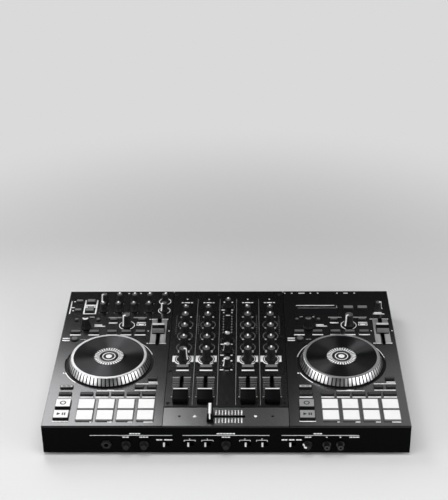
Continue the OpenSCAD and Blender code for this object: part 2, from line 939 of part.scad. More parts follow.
module front_switches() {
    color("#d6d7d8")
        for (x = switch_x)
            translate([x, front_y, front_z]) {
                translate([-lever[0] / 2, -lever[1], -lever[2] / 2])
                    cube([lever[0], lever[1] + wall_t + lever_root, lever[2]]);
                translate([-lever[0] / 2, wall_t + gap, -lever[2] / 2 - lever_stop])
                    cube([lever[0], lever_root - gap, lever[2] + 2 * lever_stop]);
            }
}

power_size = [12, 8];

module power_button() {
    out = power_travel + 1.5;
    color("#17181a")
        at_rear(power_x) {
            rotate([-90, 0, 0])
                translate([0, 0, -out])
                    chamfered_block(power_size[0], power_size[1], out + wall_t + 2, key_corner);
            translate([-power_size[0] / 2 - 1, wall_t + gap, -power_size[1] / 2 - 1])
                cube([power_size[0] + 2, 1.4, power_size[1] + 2]);
        }
}

// The wheel: a ribbed leaning ring with a bright rim, a web and a spindle
module jog_wheel(side) {
    foot_r = well_r - well_gap;
    wheel_top = top_z + jog_h;
    side_top_r = foot_r - lean;
    side_top_z = wheel_top - 0.8;
    foot_z = top_z - well_depth + lift;
    side_foot_z = top_z + 0.8;
    disc_r = side_top_r - rim_w;
    seat_z = wheel_top - disc_t;
    ring_w = 5;
    web_t = 2.5;
    tilt = atan(lean / (side_top_z - side_foot_z));
    groove_w = 1.7 * rib_depth;
    groove_length = jog_h / cos(tilt);
    color("#85878a")
        at_deck(side)
            translate([jog_x, jog_y, 0])
                difference() {
                    rotate_extrude($fn = 128)
                        polygon([[0, stem_bottom - 1], [spindle_r, stem_bottom - 1],
                            [spindle_r, seat_z - web_t - 4], [spindle_r + 6, seat_z - web_t],
                            [side_top_r - ring_w, seat_z - web_t], [foot_r - ring_w, foot_z],
                            [foot_r, foot_z], [foot_r, side_foot_z], [side_top_r, side_top_z],
                            [side_top_r - 0.8, wheel_top], [disc_r, wheel_top], [disc_r, seat_z],
                            [0, seat_z]]);
                    for (i = [0:rib_count - 1])
                        rotate([0, 0, i * 360 / rib_count])
                            translate([foot_r, 0, side_foot_z + 0.4])
                                rotate([0, -tilt, 0])
                                    linear_extrude(groove_length)
                                        polygon([[-rib_depth, 0], [1, -groove_w], [1, groove_w]]);
                }
}

module touch_disc(side) {
    disc_r = well_r - well_gap - lean - rim_w - gap;
    disc_z = top_z + jog_h - disc_t;
    step = 0.3;
    color("#0d0d0f")
        at_deck(side)
            translate([jog_x, jog_y, disc_z])
                rotate_extrude($fn = 128)
                    polygon([[0, 0], [disc_r, 0], [disc_r, disc_t - 2 * step],
                        [disc_r - step, disc_t - step], [disc_r / 2, disc_t - step],
                        [disc_r / 2 - step, disc_t - 2 * step], [disc_r / 5 + step, disc_t - 2 * step],
                        [disc_r / 5, disc_t - step], [0, disc_t - step]]);
}

module tempo_fader(side) {
    color("#2a2b2d")
        at_deck(side)
            translate([tempo_x, tempo_y, top_z])
                fader_cap(tempo_cap_w, tempo_cap_d, tempo_cap_h);
}

module channel_fader(c) {
    color("#19191b")
        translate([channel_x[c], fader_y - channel_travel / 2, top_z])
            fader_cap(channel_cap_w, channel_cap_d, channel_cap_h);
}

module crossfader() {
    color("#19191b")
        translate([-cross_travel / 2, cross_y, top_z])
            rotate([0, 0, 90])
                fader_cap(cross_cap_w, cross_cap_d, cross_cap_h);
}

module loop_knob(side) {
    color("#1b1c1e")
        at_deck(side)
            translate([loop_knob_at[0], loop_knob_at[1], top_z])
                knob(encoder_r, encoder_h, loop_turn);
}

// A push knob without a pointer, fluted from its skirt to its top
module browse_knob(side) {
    flute_r = 0.9;
    color("#1b1c1e")
        at_deck(side)
            translate([browse_knob_at[0], browse_knob_at[1], top_z])
                difference() {
                    knob(browse_r, browse_h, 0, false);
                    for (i = [0:flute_count - 1])
                        rotate([0, 0, i * 360 / flute_count])
                            translate([browse_r + skirt / 2, 0, 2 * skirt])
                                cylinder(r = flute_r, h = browse_h);
                }
}

module channel_knob(r, c) {
    color("#232427")
        translate([channel_x[c], filter_y + r * knob_pitch, top_z])
            knob(tall_r, tall_h, r == 0 ? filter_turns[c] : 0);
}

module centre_knob(i) {
    color("#232427")
        translate([0, centre_ys[i], top_z])
            knob(small_r, small_h, centre_turns[i]);
}

module pads(side) {
    color("#f2f3f4")
        at_deck(side)
            for (k = pad_list)
                key(k, pad_rise);
}

module transport_keys(side) {
    color(side < 0 ? "#eeeff0" : "#8f9194")
        at_deck(side)
            for (k = transport_list)
                key(k, transport_rise);
}

module deck_keys(side) {
    color("#b9bbbd")
        at_deck(side) {
            for (k = deck_key_list)
                key(k, key_rise);
            for (k = round_key_list)
                round_key(k, key_rise);
        }
}

module mixer_keys() {
    color("#a3a5a8") {
        for (k = cue_list)
            key(k, key_rise);
        at_deck(-1)
            for (k = left_rear_keys)
                key(k, key_rise);
        at_deck(1)
            for (k = right_rear_keys)
                key(k, key_rise);
    }
}

deck_panels();
mixer_panel();
crossfader_panel();
bottom_case();
front_fascia();
rear_panel();
rubber_feet();
panel_screws();
circuit_boards();
control_bodies();
jog_bearings();
jack_sockets();
phono_sockets();
rear_ports();
display_window();
fixed_knobs();
front_switches();
power_button();
crossfader();
mixer_keys();
for (side = [["left_", -1], ["right_", 1]]) {
    jog_wheel(side[1]);
    touch_disc(side[1]);
    tempo_fader(side[1]);
    loop_knob(side[1]);
    browse_knob(side[1]);
    pads(side[1]);
    transport_keys(side[1]);
    deck_keys(side[1]);
}
for (c = [0:3]) {
    channel_fader(c);
    for (r = [0:3])
        channel_knob(r, c);
}
for (i = [0:3])
    centre_knob(i);
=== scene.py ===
# %% [markdown]
# # A two-deck music controller
# The real object is a low, flat case with two jog wheel decks and a mixer between them. Almost
# everything on it is a repeat: one key, one knob, one fader cap or one printed mark, set down many
# times. So this lesson makes each kind of piece once, as a small helper, and takes the place of every
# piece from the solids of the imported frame, which keeps the looks and the moving bodies together.

import json
import math

import bmesh
import bpy
from mathutils import Matrix, Vector


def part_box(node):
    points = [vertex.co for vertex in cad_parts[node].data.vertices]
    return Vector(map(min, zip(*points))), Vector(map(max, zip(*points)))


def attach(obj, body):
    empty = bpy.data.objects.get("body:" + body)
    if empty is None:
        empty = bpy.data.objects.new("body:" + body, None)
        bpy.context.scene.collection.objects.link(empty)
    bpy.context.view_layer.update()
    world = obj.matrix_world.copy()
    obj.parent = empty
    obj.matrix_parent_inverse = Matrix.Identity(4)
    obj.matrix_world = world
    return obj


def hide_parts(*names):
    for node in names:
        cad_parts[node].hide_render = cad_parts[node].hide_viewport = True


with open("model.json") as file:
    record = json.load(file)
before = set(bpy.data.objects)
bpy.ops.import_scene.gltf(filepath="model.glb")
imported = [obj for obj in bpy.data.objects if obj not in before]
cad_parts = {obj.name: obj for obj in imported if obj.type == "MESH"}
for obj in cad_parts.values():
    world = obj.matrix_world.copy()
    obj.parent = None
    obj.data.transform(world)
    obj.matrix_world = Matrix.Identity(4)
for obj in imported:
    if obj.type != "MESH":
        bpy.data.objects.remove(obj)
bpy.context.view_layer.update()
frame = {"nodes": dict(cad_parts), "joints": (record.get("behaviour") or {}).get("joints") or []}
nodes = frame["nodes"]
MM = 0.001
FULL_TURN = 2 * math.pi
SIDES = ("left", "right")
HANDS = (-1, 1)
CHANNELS = (1, 2, 3, 4)


def box_mm(node):
    """The low and the high corner of a node's box, in millimetres."""
    return [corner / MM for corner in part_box(node)]


def middle(corners):
    return (corners[0] + corners[1]) / 2


def centre_of(node):
    return middle(box_mm(node))


def measured(node):
    """The low and the high corner, the middle and the size of a node's box."""
    low, high = box_mm(node)
    return low, high, middle((low, high)), high - low


# %% [markdown]
# ## Camera
# The photograph looks down on the controller from the front. Its camera could be found by eye, by
# turning a view until it looks right. Here it was solved from points whose places are known, such as
# panel corners and jog wheel centres, so the numbers below are a place, three small angles and a
# focal length in pixels, and a rotation matrix is put together from them.

# %% Camera
PHOTO_HEIGHT_PX = 500
FOCAL_PX = 1242
SENSOR_MM = 36
PITCH, YAW, ROLL = 0.529, -0.021, -0.013
PLACE_FROM_PANEL = (29.4, -1540.4, 1081.2)
top_z = box_mm("deck_panels")[1].z
forward = Vector(
    (math.sin(YAW) * math.cos(PITCH), math.cos(YAW) * math.cos(PITCH), -math.sin(PITCH))
)
level_right = Vector((math.cos(YAW), -math.sin(YAW), 0))
level_up = level_right.cross(forward)
right = level_right * math.cos(ROLL) + level_up * math.sin(ROLL)
up = level_up * math.cos(ROLL) - level_right * math.sin(ROLL)
lens = bpy.data.cameras.new("photo_camera")
lens.sensor_width = SENSOR_MM
lens.lens = FOCAL_PX / PHOTO_HEIGHT_PX * SENSOR_MM
camera = bpy.data.objects.new("photo_camera", lens)
camera_place = (Vector(PLACE_FROM_PANEL) + Vector((0, 0, top_z))) * MM
camera_turn = Matrix((right, up, -forward)).transposed().to_4x4()
camera.matrix_world = Matrix.Translation(camera_place) @ camera_turn
bpy.context.scene.collection.objects.link(camera)
bpy.context.scene.camera = camera
bpy.context.scene.view_settings.view_transform = "Standard"
print("camera lens", round(lens.lens, 1), "mm")

# %% [markdown]
# ## Floor and light
# A pale floor and a few soft boxes are enough. Far from the object the floor fades into a plain pale
# backdrop, and so does the world near the horizon, so that no side view ends in a dark edge. The rays
# that see this are those from the camera and those that metal and glass send on, so it lights
# nothing. Materials are put together from nodes, so two helpers come first: one adds a node with its
# settings, and one links pairs of sockets.

# %% Helpers for nodes


def grey(tone):
    return (tone, tone, tone, 1)


def add_node(tree, kind, values=None, **settings):
    """Adds a shader node with its settings and the values of its sockets."""
    made = tree.nodes.new("ShaderNode" + kind)
    for name, setting in settings.items():
        setattr(made, name, setting)
    for socket, value in (values or {}).items():
        made.inputs[socket].default_value = value
    return made


def wire(tree, *pairs):
    """Links each pair of an output and an input."""
    for source, target in pairs:
        tree.links.new(source, target)


def backdrop_rays(tree):
    """A socket that is 1 for rays from the camera and for those that metal or glass sends on."""
    path = add_node(tree, "LightPath")
    shown = path.outputs["Is Camera Ray"]
    for kind in ("Is Glossy Ray", "Is Transmission Ray"):
        either = add_node(tree, "Math", operation="MAXIMUM")
        wire(tree, (shown, either.inputs[0]), (path.outputs[kind], either.inputs[1]))
        shown = either.outputs["Value"]
    return shown


# %% Floor
FLOOR_SIZE = 9.0
FLOOR_TONE = 0.74
FLOOR_ROUGHNESS = 0.7
BACKDROP = 0.7
FADE_FROM, FADE_TO = 0.32, 0.95
floor_shape = bmesh.new()
bmesh.ops.create_grid(floor_shape, x_segments=1, y_segments=1, size=FLOOR_SIZE / 2)
floor_mesh = bpy.data.meshes.new("floor")
floor_shape.to_mesh(floor_mesh)
floor_shape.free()
floor = bpy.data.objects.new("floor", floor_mesh)
bpy.context.scene.collection.objects.link(floor)

floor_paint = bpy.data.materials.new("floor_paint")
floor_paint.use_nodes = True
floor_mesh.materials.append(floor_paint)
tree = floor_paint.node_tree
floor_shader = tree.nodes["Principled BSDF"]
floor_shader.inputs["Base Color"].default_value = grey(FLOOR_TONE)
floor_shader.inputs["Roughness"].default_value = FLOOR_ROUGHNESS
where = add_node(tree, "TexCoord")
reach = add_node(tree, "VectorMath", operation="LENGTH")
fade_range = {"From Min": FADE_FROM, "From Max": FADE_TO}
fade = add_node(tree, "MapRange", fade_range, interpolation_type="SMOOTHSTEP")
only_seen = add_node(tree, "Math", operation="MULTIPLY")
backdrop = add_node(tree, "Emission", {"Color": grey(BACKDROP)})
blend = add_node(tree, "MixShader")
wire(
    tree,
    (where.outputs["Object"], reach.inputs[0]),
    (reach.outputs["Value"], fade.inputs["Value"]),
    (fade.outputs["Result"], only_seen.inputs[0]),
    (backdrop_rays(tree), only_seen.inputs[1]),
    (only_seen.outputs["Value"], blend.inputs[0]),
    (floor_shader.outputs["BSDF"], blend.inputs[1]),
    (backdrop.outputs["Emission"], blend.inputs[2]),
    (blend.outputs["Shader"], tree.nodes["Material Output"].inputs["Surface"]),
)
print("floor", FLOOR_SIZE, "m wide")

# %% World
SKY = 0.018
HORIZON_FROM, HORIZON_TO = 0.06, 0.2
world = bpy.data.worlds.new("studio")
world.use_nodes = True
tree = world.node_tree
sky = tree.nodes["Background"]
sky.inputs["Color"].default_value = grey(1)
ray = add_node(tree, "TexCoord")
rise = add_node(tree, "SeparateXYZ")
sky_range = {"From Min": HORIZON_FROM, "From Max": HORIZON_TO, "To Min": BACKDROP - SKY, "To Max": 0}
horizon = add_node(tree, "MapRange", sky_range, interpolation_type="SMOOTHSTEP")
sky_level = add_node(tree, "Math", {2: SKY}, operation="MULTIPLY_ADD")
wire(
    tree,
    (ray.outputs["Generated"], rise.inputs["Vector"]),
    (rise.outputs["Z"], horizon.inputs["Value"]),
    (horizon.outputs["Result"], sky_level.inputs[0]),
    (backdrop_rays(tree), sky_level.inputs[1]),
    (sky_level.outputs["Value"], sky.inputs["Strength"]),
)
bpy.context.scene.world = world
print("sky", SKY, "and backdrop", BACKDROP)

# %% [markdown]
# The metal decks of the real object shine towards their front left corner and stay dark at the back,
# which a lamp behind and to the left gives, because a satin surface mirrors what stands opposite the
# camera. A broad overhead box lights the tops of the keys and the white print. A small high box makes
# the two wedges of light on the touch discs, and a low box on each side makes the ribs of the jog
# wheels flash. Overhead the studio stays dark, which is what the metal panels mirror.

# %% Lamps


def soft_box(name, place, aim, size, watts, mirrored=True):
    """An oval lamp at a place in metres, turned towards another, and seen in metal or not."""
    lamp = bpy.data.lights.new(name, "AREA")
    lamp.shape = "ELLIPSE"
    lamp.size, lamp.size_y = size
    lamp.energy = watts
    holder = bpy.data.objects.new(name, lamp)
    holder.location = place
    holder.rotation_euler = (Vector(aim) - Vector(place)).to_track_quat("-Z", "Y").to_euler()
    holder.visible_glossy = mirrored
    bpy.context.scene.collection.objects.link(holder)


SIDE_BOX = {"size": (1.5, 0.66), "watts": 7.4}
soft_box("overhead_box", (0, -0.6, 1.8), (0, 0.1, 0), size=(1.8, 1.2), watts=19.5, mirrored=False)
soft_box("back_left_box", (-0.49, 0.44, 0.7), (-0.49, -0.2, 0.7), size=(0.78, 0.66), watts=2.8)
soft_box("back_right_box", (0.4, 0.44, 0.66), (0.4, -0.2, 0.66), size=(0.62, 0.6), watts=0.39)
soft_box("disc_box", (-0.36, 0.22, 1.0), (0, 0, 0.07), size=(0.4, 0.4), watts=2.1)
soft_box("side_left_box", (-1.08, -0.55, 0.43), (-0.21, -0.04, 0.06), **SIDE_BOX)
soft_box("side_right_box", (0.95, -0.53, 0.43), (0.165, 0.09, 0.06), **SIDE_BOX)
print("lamps", len(bpy.data.lights))

# %% [markdown]
# ## Reading the layout
# A node such as the keys of a deck holds many solids. Their places could be typed in again, but then
# a change in the solids would leave the looks behind. Instead the node's mesh is copied, its loose
# triangles are merged, and each connected island is measured with a flood fill.

# %% Find the solids of a node
MERGE_M = 1e-6
ROW_STEP = 3.0


def solids(node):
    """Low and high corners, in millimetres, of each solid in a node, front row first."""
    copy = bmesh.new()
    copy.from_mesh(nodes[node].data)
    bmesh.ops.remove_doubles(copy, verts=copy.verts, dist=MERGE_M)
    unseen = set(copy.verts)
    corners = []
    while unseen:
        queue = [unseen.pop()]
        low, high = queue[0].co.copy(), queue[0].co.copy()
        while queue:
            vert = queue.pop()
            low = Vector(map(min, low, vert.co))
            high = Vector(map(max, high, vert.co))
            for edge in vert.link_edges:
                other = edge.other_vert(vert)
                if other in unseen:
                    unseen.remove(other)
                    queue.append(other)
        corners.append((low / MM, high / MM))
    copy.free()
    return sorted(corners, key=lambda c: (round(c[0].y + c[1].y), c[0].x))


def in_rows(boxes):
    """Sorts boxes into rows that lie more than ROW_STEP apart, each from left to right."""
    rows = []
    for corners in sorted(boxes, key=lambda c: middle(c).y):
        if rows and middle(corners).y - middle(rows[-1][0]).y < ROW_STEP:
            rows[-1].append(corners)
        else:
            rows.append([corners])
    return [sorted(row, key=lambda c: middle(c).x) for row in rows]


key_rows = {side: in_rows(solids(side + "_keys")) for side in SIDES}
mixer_half = box_mm("mixer_panel")[1].x


def on_mixer(corners):
    return abs(middle(corners).x) < mixer_half


print("key rows", {side: [len(row) for row in rows] for side, rows in key_rows.items()})

# %% [markdown]
# ## Finishes
# Paint, rubber and moulded plastic are never one flat colour. A slow noise lets the tone drift over
# the surface, and a fine one changes the gloss and raises a skin that is felt more than seen. Both
# read Object coordinates in metres, so the grain has its real size on every piece. One helper makes
# the whole family, and only the numbers that differ are given.

# %% The helper for paint and plastic
GLOSS_DRIFT = 0.06
BUMP_STRENGTH = 0.35
CLOUD_DETAIL = 4
GRAIN_DETAIL = 2


def shader_of(material):
    return material.node_tree.nodes["Principled BSDF"]


def finish(name, colour, roughness, skin, drift=0.1, metallic=0.0, shine=0.5):
    """A surface whose tone drifts by a share, with a skin of (patches and grains a metre, mm high)."""
    patch, grain, relief = skin
    material = bpy.data.materials.new(name)
    material.use_nodes = True
    tree = material.node_tree
    shader = shader_of(material)
    shader.inputs["Metallic"].default_value = metallic
    shader.inputs["Specular IOR Level"].default_value = shine
    where = add_node(tree, "TexCoord").outputs["Object"]
    cloud = add_node(tree, "TexNoise", {"Scale": patch, "Detail": CLOUD_DETAIL})
    dark, light = ((*[c * share for c in colour], 1) for share in (1 - drift, 1 + drift))
    tone = add_node(tree, "Mix", {"A": dark, "B": light}, data_type="RGBA")
    fine = add_node(tree, "TexNoise", {"Scale": grain, "Detail": GRAIN_DETAIL})
    gloss_range = {"To Min": roughness - GLOSS_DRIFT, "To Max": roughness + GLOSS_DRIFT}
    gloss = add_node(tree, "MapRange", gloss_range)
    bump = add_node(tree, "Bump", {"Strength": BUMP_STRENGTH, "Distance": relief * MM})
    wire(
        tree,
        (where, cloud.inputs["Vector"]),
        (where, fine.inputs["Vector"]),
        (cloud.outputs["Fac"], tone.inputs["Factor"]),
        (tone.outputs["Result"], shader.inputs["Base Color"]),
        (fine.outputs["Fac"], gloss.inputs["Value"]),
        (gloss.outputs["Result"], shader.inputs["Roughness"]),
        (fine.outputs["Fac"], bump.inputs["Height"]),
        (bump.outputs["Normal"], shader.inputs["Normal"]),
    )
    return material


def lit(material, strength):
    """Lets a translucent cap glow a little, as from a lamp under it."""
    shader = shader_of(material)
    shader.inputs["Emission Color"].default_value = grey(1)
    shader.inputs["Emission Strength"].default_value = strength
    return material


# %% Finishes of the case
SATIN = (18, 2200, 0.004)
FLAT_SATIN = (18, 2200, 0.001)
MIXER_SATIN = (20, 2000, 0.004)
TURNED = (80, 1500, 0.02)
deck_satin = finish("deck_satin", (0.24, 0.24, 0.245), 0.23, SATIN, 0.06, metallic=1)
mixer_satin = finish("mixer_satin", (0.14, 0.14, 0.143), 0.27, MIXER_SATIN, 0.08, metallic=1)
cross_satin = finish("cross_satin", (0.44, 0.44, 0.445), 0.29, FLAT_SATIN, 0.06, metallic=1)
case_plastic = finish("case_plastic", (0.01, 0.01, 0.011), 0.55, (25, 1100, 0.06), 0.15, shine=0.3)
# The front and rear faces are black plastic painted darker still, a painted shade for the shadow they
# stand in
fascia_black_and_shade = (0.0015, 0.0015, 0.0018)
fascia_plastic_and_shade = finish("fascia_plastic_and_shade", fascia_black_and_shade, 0.5, (25, 1500, 0.03), 0.2, shine=0.03)
foot_rubber = finish("foot_rubber", (0.02, 0.02, 0.02), 0.8, (60, 900, 0.1), 0.2)
screw_black = finish("screw_black", (0.03, 0.03, 0.032), 0.38, (200, 2500, 0.02), 0.2, metallic=0.8)
board_green = finish("board_green", (0.02, 0.12, 0.05), 0.4, (90, 700, 0.05), 0.2)
control_grey = (0.02, 0.02, 0.021)
control_metal = finish("control_metal", control_grey, 0.55, TURNED, 0.2, metallic=0.6, shine=0.2)
bearing_metal = finish("bearing_metal", (0.5, 0.5, 0.5), 0.35, TURNED, metallic=1)
socket_black = (0.012, 0.012, 0.013)
socket_plastic = finish("socket_plastic", socket_black, 0.4, (80, 1500, 0.03), 0.2, shine=0.3)
phono_plating = finish("phono_plating", (0.06, 0.06, 0.062), 0.3, (120, 1800, 0.01), metallic=0.9)
display_black = (0.008, 0.008, 0.009)
display_glass = finish("display_glass", display_black, 0.2, (40, 900, 0.002), 0.2, shine=0.3)
print("finishes of the case", len(bpy.data.materials))

# %% Finishes of the controls
CAP = (80, 1400, 0.03)
KEY = (90, 1400, 0.03)
PAD = (60, 1100, 0.05)
INK = (150, 2500, 0.01)
JOG = (60, 1800, 0.01)
rubber_black = (0.006, 0.006, 0.007)
knob_rubber = finish("knob_rubber", rubber_black, 0.5, (90, 1300, 0.04), 0.2, shine=0.25)
knob_top = finish("knob_top", (0.07, 0.07, 0.073), 0.42, (120, 1500, 0.03))
cap_plastic = finish("cap_plastic", (0.003, 0.003, 0.0035), 0.45, CAP, 0.2, shine=0.05)
cap_grey = finish("cap_grey", (0.14, 0.14, 0.144), 0.4, CAP, 0.12)
cap_pale = finish("cap_pale", (0.45, 0.45, 0.45), 0.45, CAP)
key_dark = finish("key_dark", (0.012, 0.012, 0.013), 0.45, KEY, 0.15, shine=0.3)
key_top = finish("key_top", (0.045, 0.045, 0.047), 0.45, KEY, 0.12, shine=0.4)
key_grey = finish("key_grey", (0.11, 0.11, 0.113), 0.5, KEY)
key_pale = finish("key_pale", (0.17, 0.17, 0.174), 0.5, KEY, 0.12)
key_mid = finish("key_mid", (0.28, 0.28, 0.285), 0.5, KEY)
key_lit = lit(finish("key_lit", (0.72, 0.72, 0.72), 0.5, KEY, 0.06), 0.16)
key_frame = finish("key_frame", rubber_black, 0.5, KEY, 0.2, shine=0.25)
pad_lit = lit(finish("pad_lit", (0.82, 0.82, 0.82), 0.55, PAD, 0.05), 0.06)
pad_side = finish("pad_side", (0.16, 0.16, 0.16), 0.6, PAD)
white_ink = finish("white_ink", (0.92, 0.92, 0.92), 0.6, INK, 0.08)
grey_ink = finish("grey_ink", (0.3, 0.3, 0.3), 0.6, INK)
faint_ink = finish("faint_ink", (0.17, 0.17, 0.17), 0.6, INK)
dark_ink = finish("dark_ink", (0.008, 0.008, 0.008), 0.6, INK, 0.15, shine=0.25)
switch_white = finish("switch_white", (0.75, 0.75, 0.75), 0.5, (150, 1500, 0.02), 0.06)
jog_metal = finish("jog_metal", (0.62, 0.62, 0.63), 0.3, JOG, 0.06, metallic=1)
jog_rim = finish("jog_rim", (0.86, 0.86, 0.87), 0.42, JOG, 0.06, metallic=1)
# Painted shade: a black finish for the wells, slots, grooves and gaps that lie in shadow
painted_shade_black = finish("painted_shade_black", rubber_black, 0.4, (60, 1500, 0.02), 0.2, shine=0.3)
print("finishes in all", len(bpy.data.materials))

# %% [markdown]
# ## The case
# The panels, the front and rear plates, the floor, feet, screws and sockets of the frame already have
# their right shapes. Making them again would add nothing, so these nodes stay and get a finish each.

# %% Finishes for the nodes that stay
node_finish = {
    "deck_panels": deck_satin,
    "crossfader_panel": cross_satin,
    "mixer_panel": mixer_satin,
    "bottom_case": case_plastic,
    "front_fascia": fascia_plastic_and_shade,
    "rear_panel": fascia_plastic_and_shade,
    "rubber_feet": foot_rubber,
    "panel_screws": screw_black,
    "circuit_boards": board_green,
    "control_bodies": control_metal,
    "jog_bearings": bearing_metal,
    "jack_sockets": socket_plastic,
    "phono_sockets": phono_plating,
    "rear_ports": socket_plastic,
    "display_window": display_glass,
    "power_button": cap_plastic,
    "front_switches": switch_white,
}
for node, material in node_finish.items():
    nodes[node].data.materials.clear()
    nodes[node].data.materials.append(material)
print("dressed nodes", len(node_finish))

# %% [markdown]
# The holes and wells of a metal panel are in shadow on the real object. A second finish on every face
# that lies below the top skin gives that, without a lamp having to be kept out of each slot.

# %% Dark wells and slots
PANEL_SKIN = 1.1
IN_SHADOW = 1
for node in ("deck_panels", "crossfader_panel", "mixer_panel"):
    mesh = nodes[node].data
    mesh.materials.append(painted_shade_black)
    below = [face for face in mesh.polygons if face.center.z / MM < top_z - PANEL_SKIN]
    for face in below:
        face.material_index = IN_SHADOW
    print(node, "faces in shadow", len(below))

# %% [markdown]
# ## Helpers for every new piece
# A piece is gathered in one bmesh from many small parts, all in millimetres because those numbers are
# easy to read. Each part is painted, turned and put in its place. When the piece is done it is scaled
# to metres, gets its finishes, and is tied to the body that it moves with.

# %% Gather parts and hand in a piece
SMOOTH_BELOW_DEG = 35


def paint(part, pick):
    """Gives each face one of its piece's finishes: a fixed one, or one that its middle decides."""
    for face in part.faces:
        face.material_index = pick(face.calc_center_median()) if callable(pick) else pick


def put(part, place, turn=None):
    """Turns a part about the origin and moves it to its place."""
    if turn:
        bmesh.ops.rotate(part, cent=(0, 0, 0), matrix=turn, verts=part.verts)
    bmesh.ops.translate(part, vec=place, verts=part.verts)


def drop_in(piece, part, place=(0, 0, 0), turn=None):
    """Puts a part in its place and adds it to a piece."""
    put(part, place, turn)
    mesh = bpy.data.meshes.new("part")
    part.to_mesh(mesh)
    part.free()
    piece.from_mesh(mesh)
    bpy.data.meshes.remove(mesh)


def hand_in(piece, name, finishes, body, node=None, smooth_below=SMOOTH_BELOW_DEG):
    """Turns a bmesh in millimetres into an object that rides on a body, in place of a node."""
    bmesh.ops.scale(piece, vec=(MM, MM, MM), verts=piece.verts)
    mesh = bpy.data.meshes.new(name)
    piece.to_mesh(mesh)
    piece.free()
    for material in finishes:
        mesh.materials.append(material)
    mesh.shade_smooth()
    mesh.set_sharp_from_angle(angle=math.radians(smooth_below))
    made = bpy.data.objects.new(name, mesh)
    bpy.context.scene.collection.objects.link(made)
    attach(made, body)
    if node:
        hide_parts(node)
    print(name, "faces", len(mesh.polygons))
    return made


# %% [markdown]
# ## Printed marks
# Keys, panels and wheels are printed all over with short labels, rings and scales. Their wording is
# left out, and each label is a plain bar or a row of dashes of its size. A print could be painted by
# a texture, but thin raised shapes keep an edge at any distance. All marks that move together lie in
# one flat sheet, and a Solidify modifier gives the sheet the thickness of a coat of ink.

# %% Bars and labels
WHITE, PALE, FAINT, DARK_INK = 0, 1, 2, 3
inks = [white_ink, grey_ink, faint_ink, dark_ink]
DASHES = (1.0, 0.88, 1.0, 0.94)
DASH_STEP = 4.2
DASH_SHARE = 0.94


def stretched(place, size):
    """A matrix that stretches a unit shape to a size and moves it to a place."""
    return Matrix.Translation(place) @ Matrix.Diagonal((*size, 1))


def use_ink(made, ink):
    """Gives what an operator has just made its ink."""
    for vert in made["verts"]:
        for face in vert.link_faces:
            face.material_index = ink


def bar(sheet, x, y, width, depth, ink=WHITE):
    shape = stretched((x, y, 0), (width, depth, 1))
    use_ink(bmesh.ops.create_grid(sheet, x_segments=1, y_segments=1, size=0.5, matrix=shape), ink)


def bars(sheet, at, marks, ink=WHITE):
    """Bars at (across, along, width, depth) from the middle of what they belong to."""
    for across, along, width, depth in marks:
        bar(sheet, at.x + across, at.y + along, width, depth, ink)


def bar_pair(sheet, at, across, along, width, depth, ink=WHITE):
    """Two bars, one as far to the left of a middle as the other is to its right."""
    bars(sheet, at, [(hand * across, along, width, depth) for hand in HANDS], ink)


def label(sheet, x, y, width, depth, ink=WHITE):
    """A row of dashes that stands for a line of small print."""
    count = max(2, round(width / DASH_STEP))
    step = width / count
    for i in range(count):
        dash = step * DASH_SHARE * DASHES[i % len(DASHES)]
        bar(sheet, x - width / 2 + (i + 0.5) * step, y, dash, depth, ink)


# %% Dots and wedges


def dot(sheet, x, y, radius, ink=WHITE, sides=20, turn_deg=0):
    """A round mark, or one with few sides, turned about its middle."""
    place = Matrix.Translation((x, y, 0)) @ Matrix.Rotation(math.radians(turn_deg), 4, "Z")
    made = bmesh.ops.create_circle(sheet, cap_ends=True, segments=sides, radius=radius, matrix=place)
    use_ink(made, ink)


def wedge(sheet, x, y, radius, ink=WHITE, turn_deg=0):
    """A triangle that points along +X when its turn is zero."""
    dot(sheet, x, y, radius, ink, 3, turn_deg - 90)


# %% Rings and arcs


def spin(part, geom, angle, steps):
    """Spins points and edges round the Z axis, and closes a full turn."""
    closed = angle == FULL_TURN
    bmesh.ops.spin(
        part, geom=geom, cent=(0, 0, 0), axis=(0, 0, 1), angle=angle, steps=steps, use_merge=closed
    )


def ring_mark(sheet, at, radius, width, ink, start_deg=0, sweep_deg=360, steps=24):
    """Adds a flat ring or arc by spinning a short edge."""
    start = math.radians(start_deg)
    part = bmesh.new()
    ends = [
        part.verts.new((r * math.cos(start), r * math.sin(start), 0))
        for r in (radius - width / 2, radius + width / 2)
    ]
    rung = part.edges.new(ends)
    spin(part, [*ends, rung], FULL_TURN * sweep_deg / 360, steps)
    paint(part, ink)
    drop_in(sheet, part, (at.x, at.y, 0))


def arc(sheet, at, radius, line, gap_deg, ink):
    """A ring that is open towards the front by an angle."""
    ring_mark(sheet, at, radius, line, ink, gap_deg / 2 - 90, 360 - gap_deg, steps=40)


# %% Hand in a sheet
INK_TOP = 0.07
INK_COAT = 0.06
on_panel = (0, 0, top_z + INK_TOP)


def hand_in_print(sheet, name, place, body="case", lean=None):
    """Gives a flat sheet of marks its thickness and lays it on a body."""
    for face in sheet.faces:
        face.normal_update()
        if face.normal.z < 0:
            face.normal_flip()
    put(sheet, place, lean)
    made = hand_in(sheet, name, inks, body)
    thick = made.modifiers.new("ink", "SOLIDIFY")
    thick.thickness = INK_COAT * MM
    thick.offset = -1


# %% [markdown]
# ## Keys and pads
# A key is a moulded cap that comes up through the panel. A cube gives its block; bevelling the four
# upright edges rounds the corners seen from above, and a smaller bevel softens the edge that a finger
# meets. The lit keys are a black frame with a pale window, which an inset of the top face cuts.

# %% A key cap
FLANGE = 1.0
TINY = 0.01
FACES_UP = 0.99
foot_z = top_z - 1.2


def soften(part, edges, offset, segments):
    bmesh.ops.bevel(
        part, geom=edges, offset=offset, segments=segments, profile=0.5, affect="EDGES", material=-1
    )


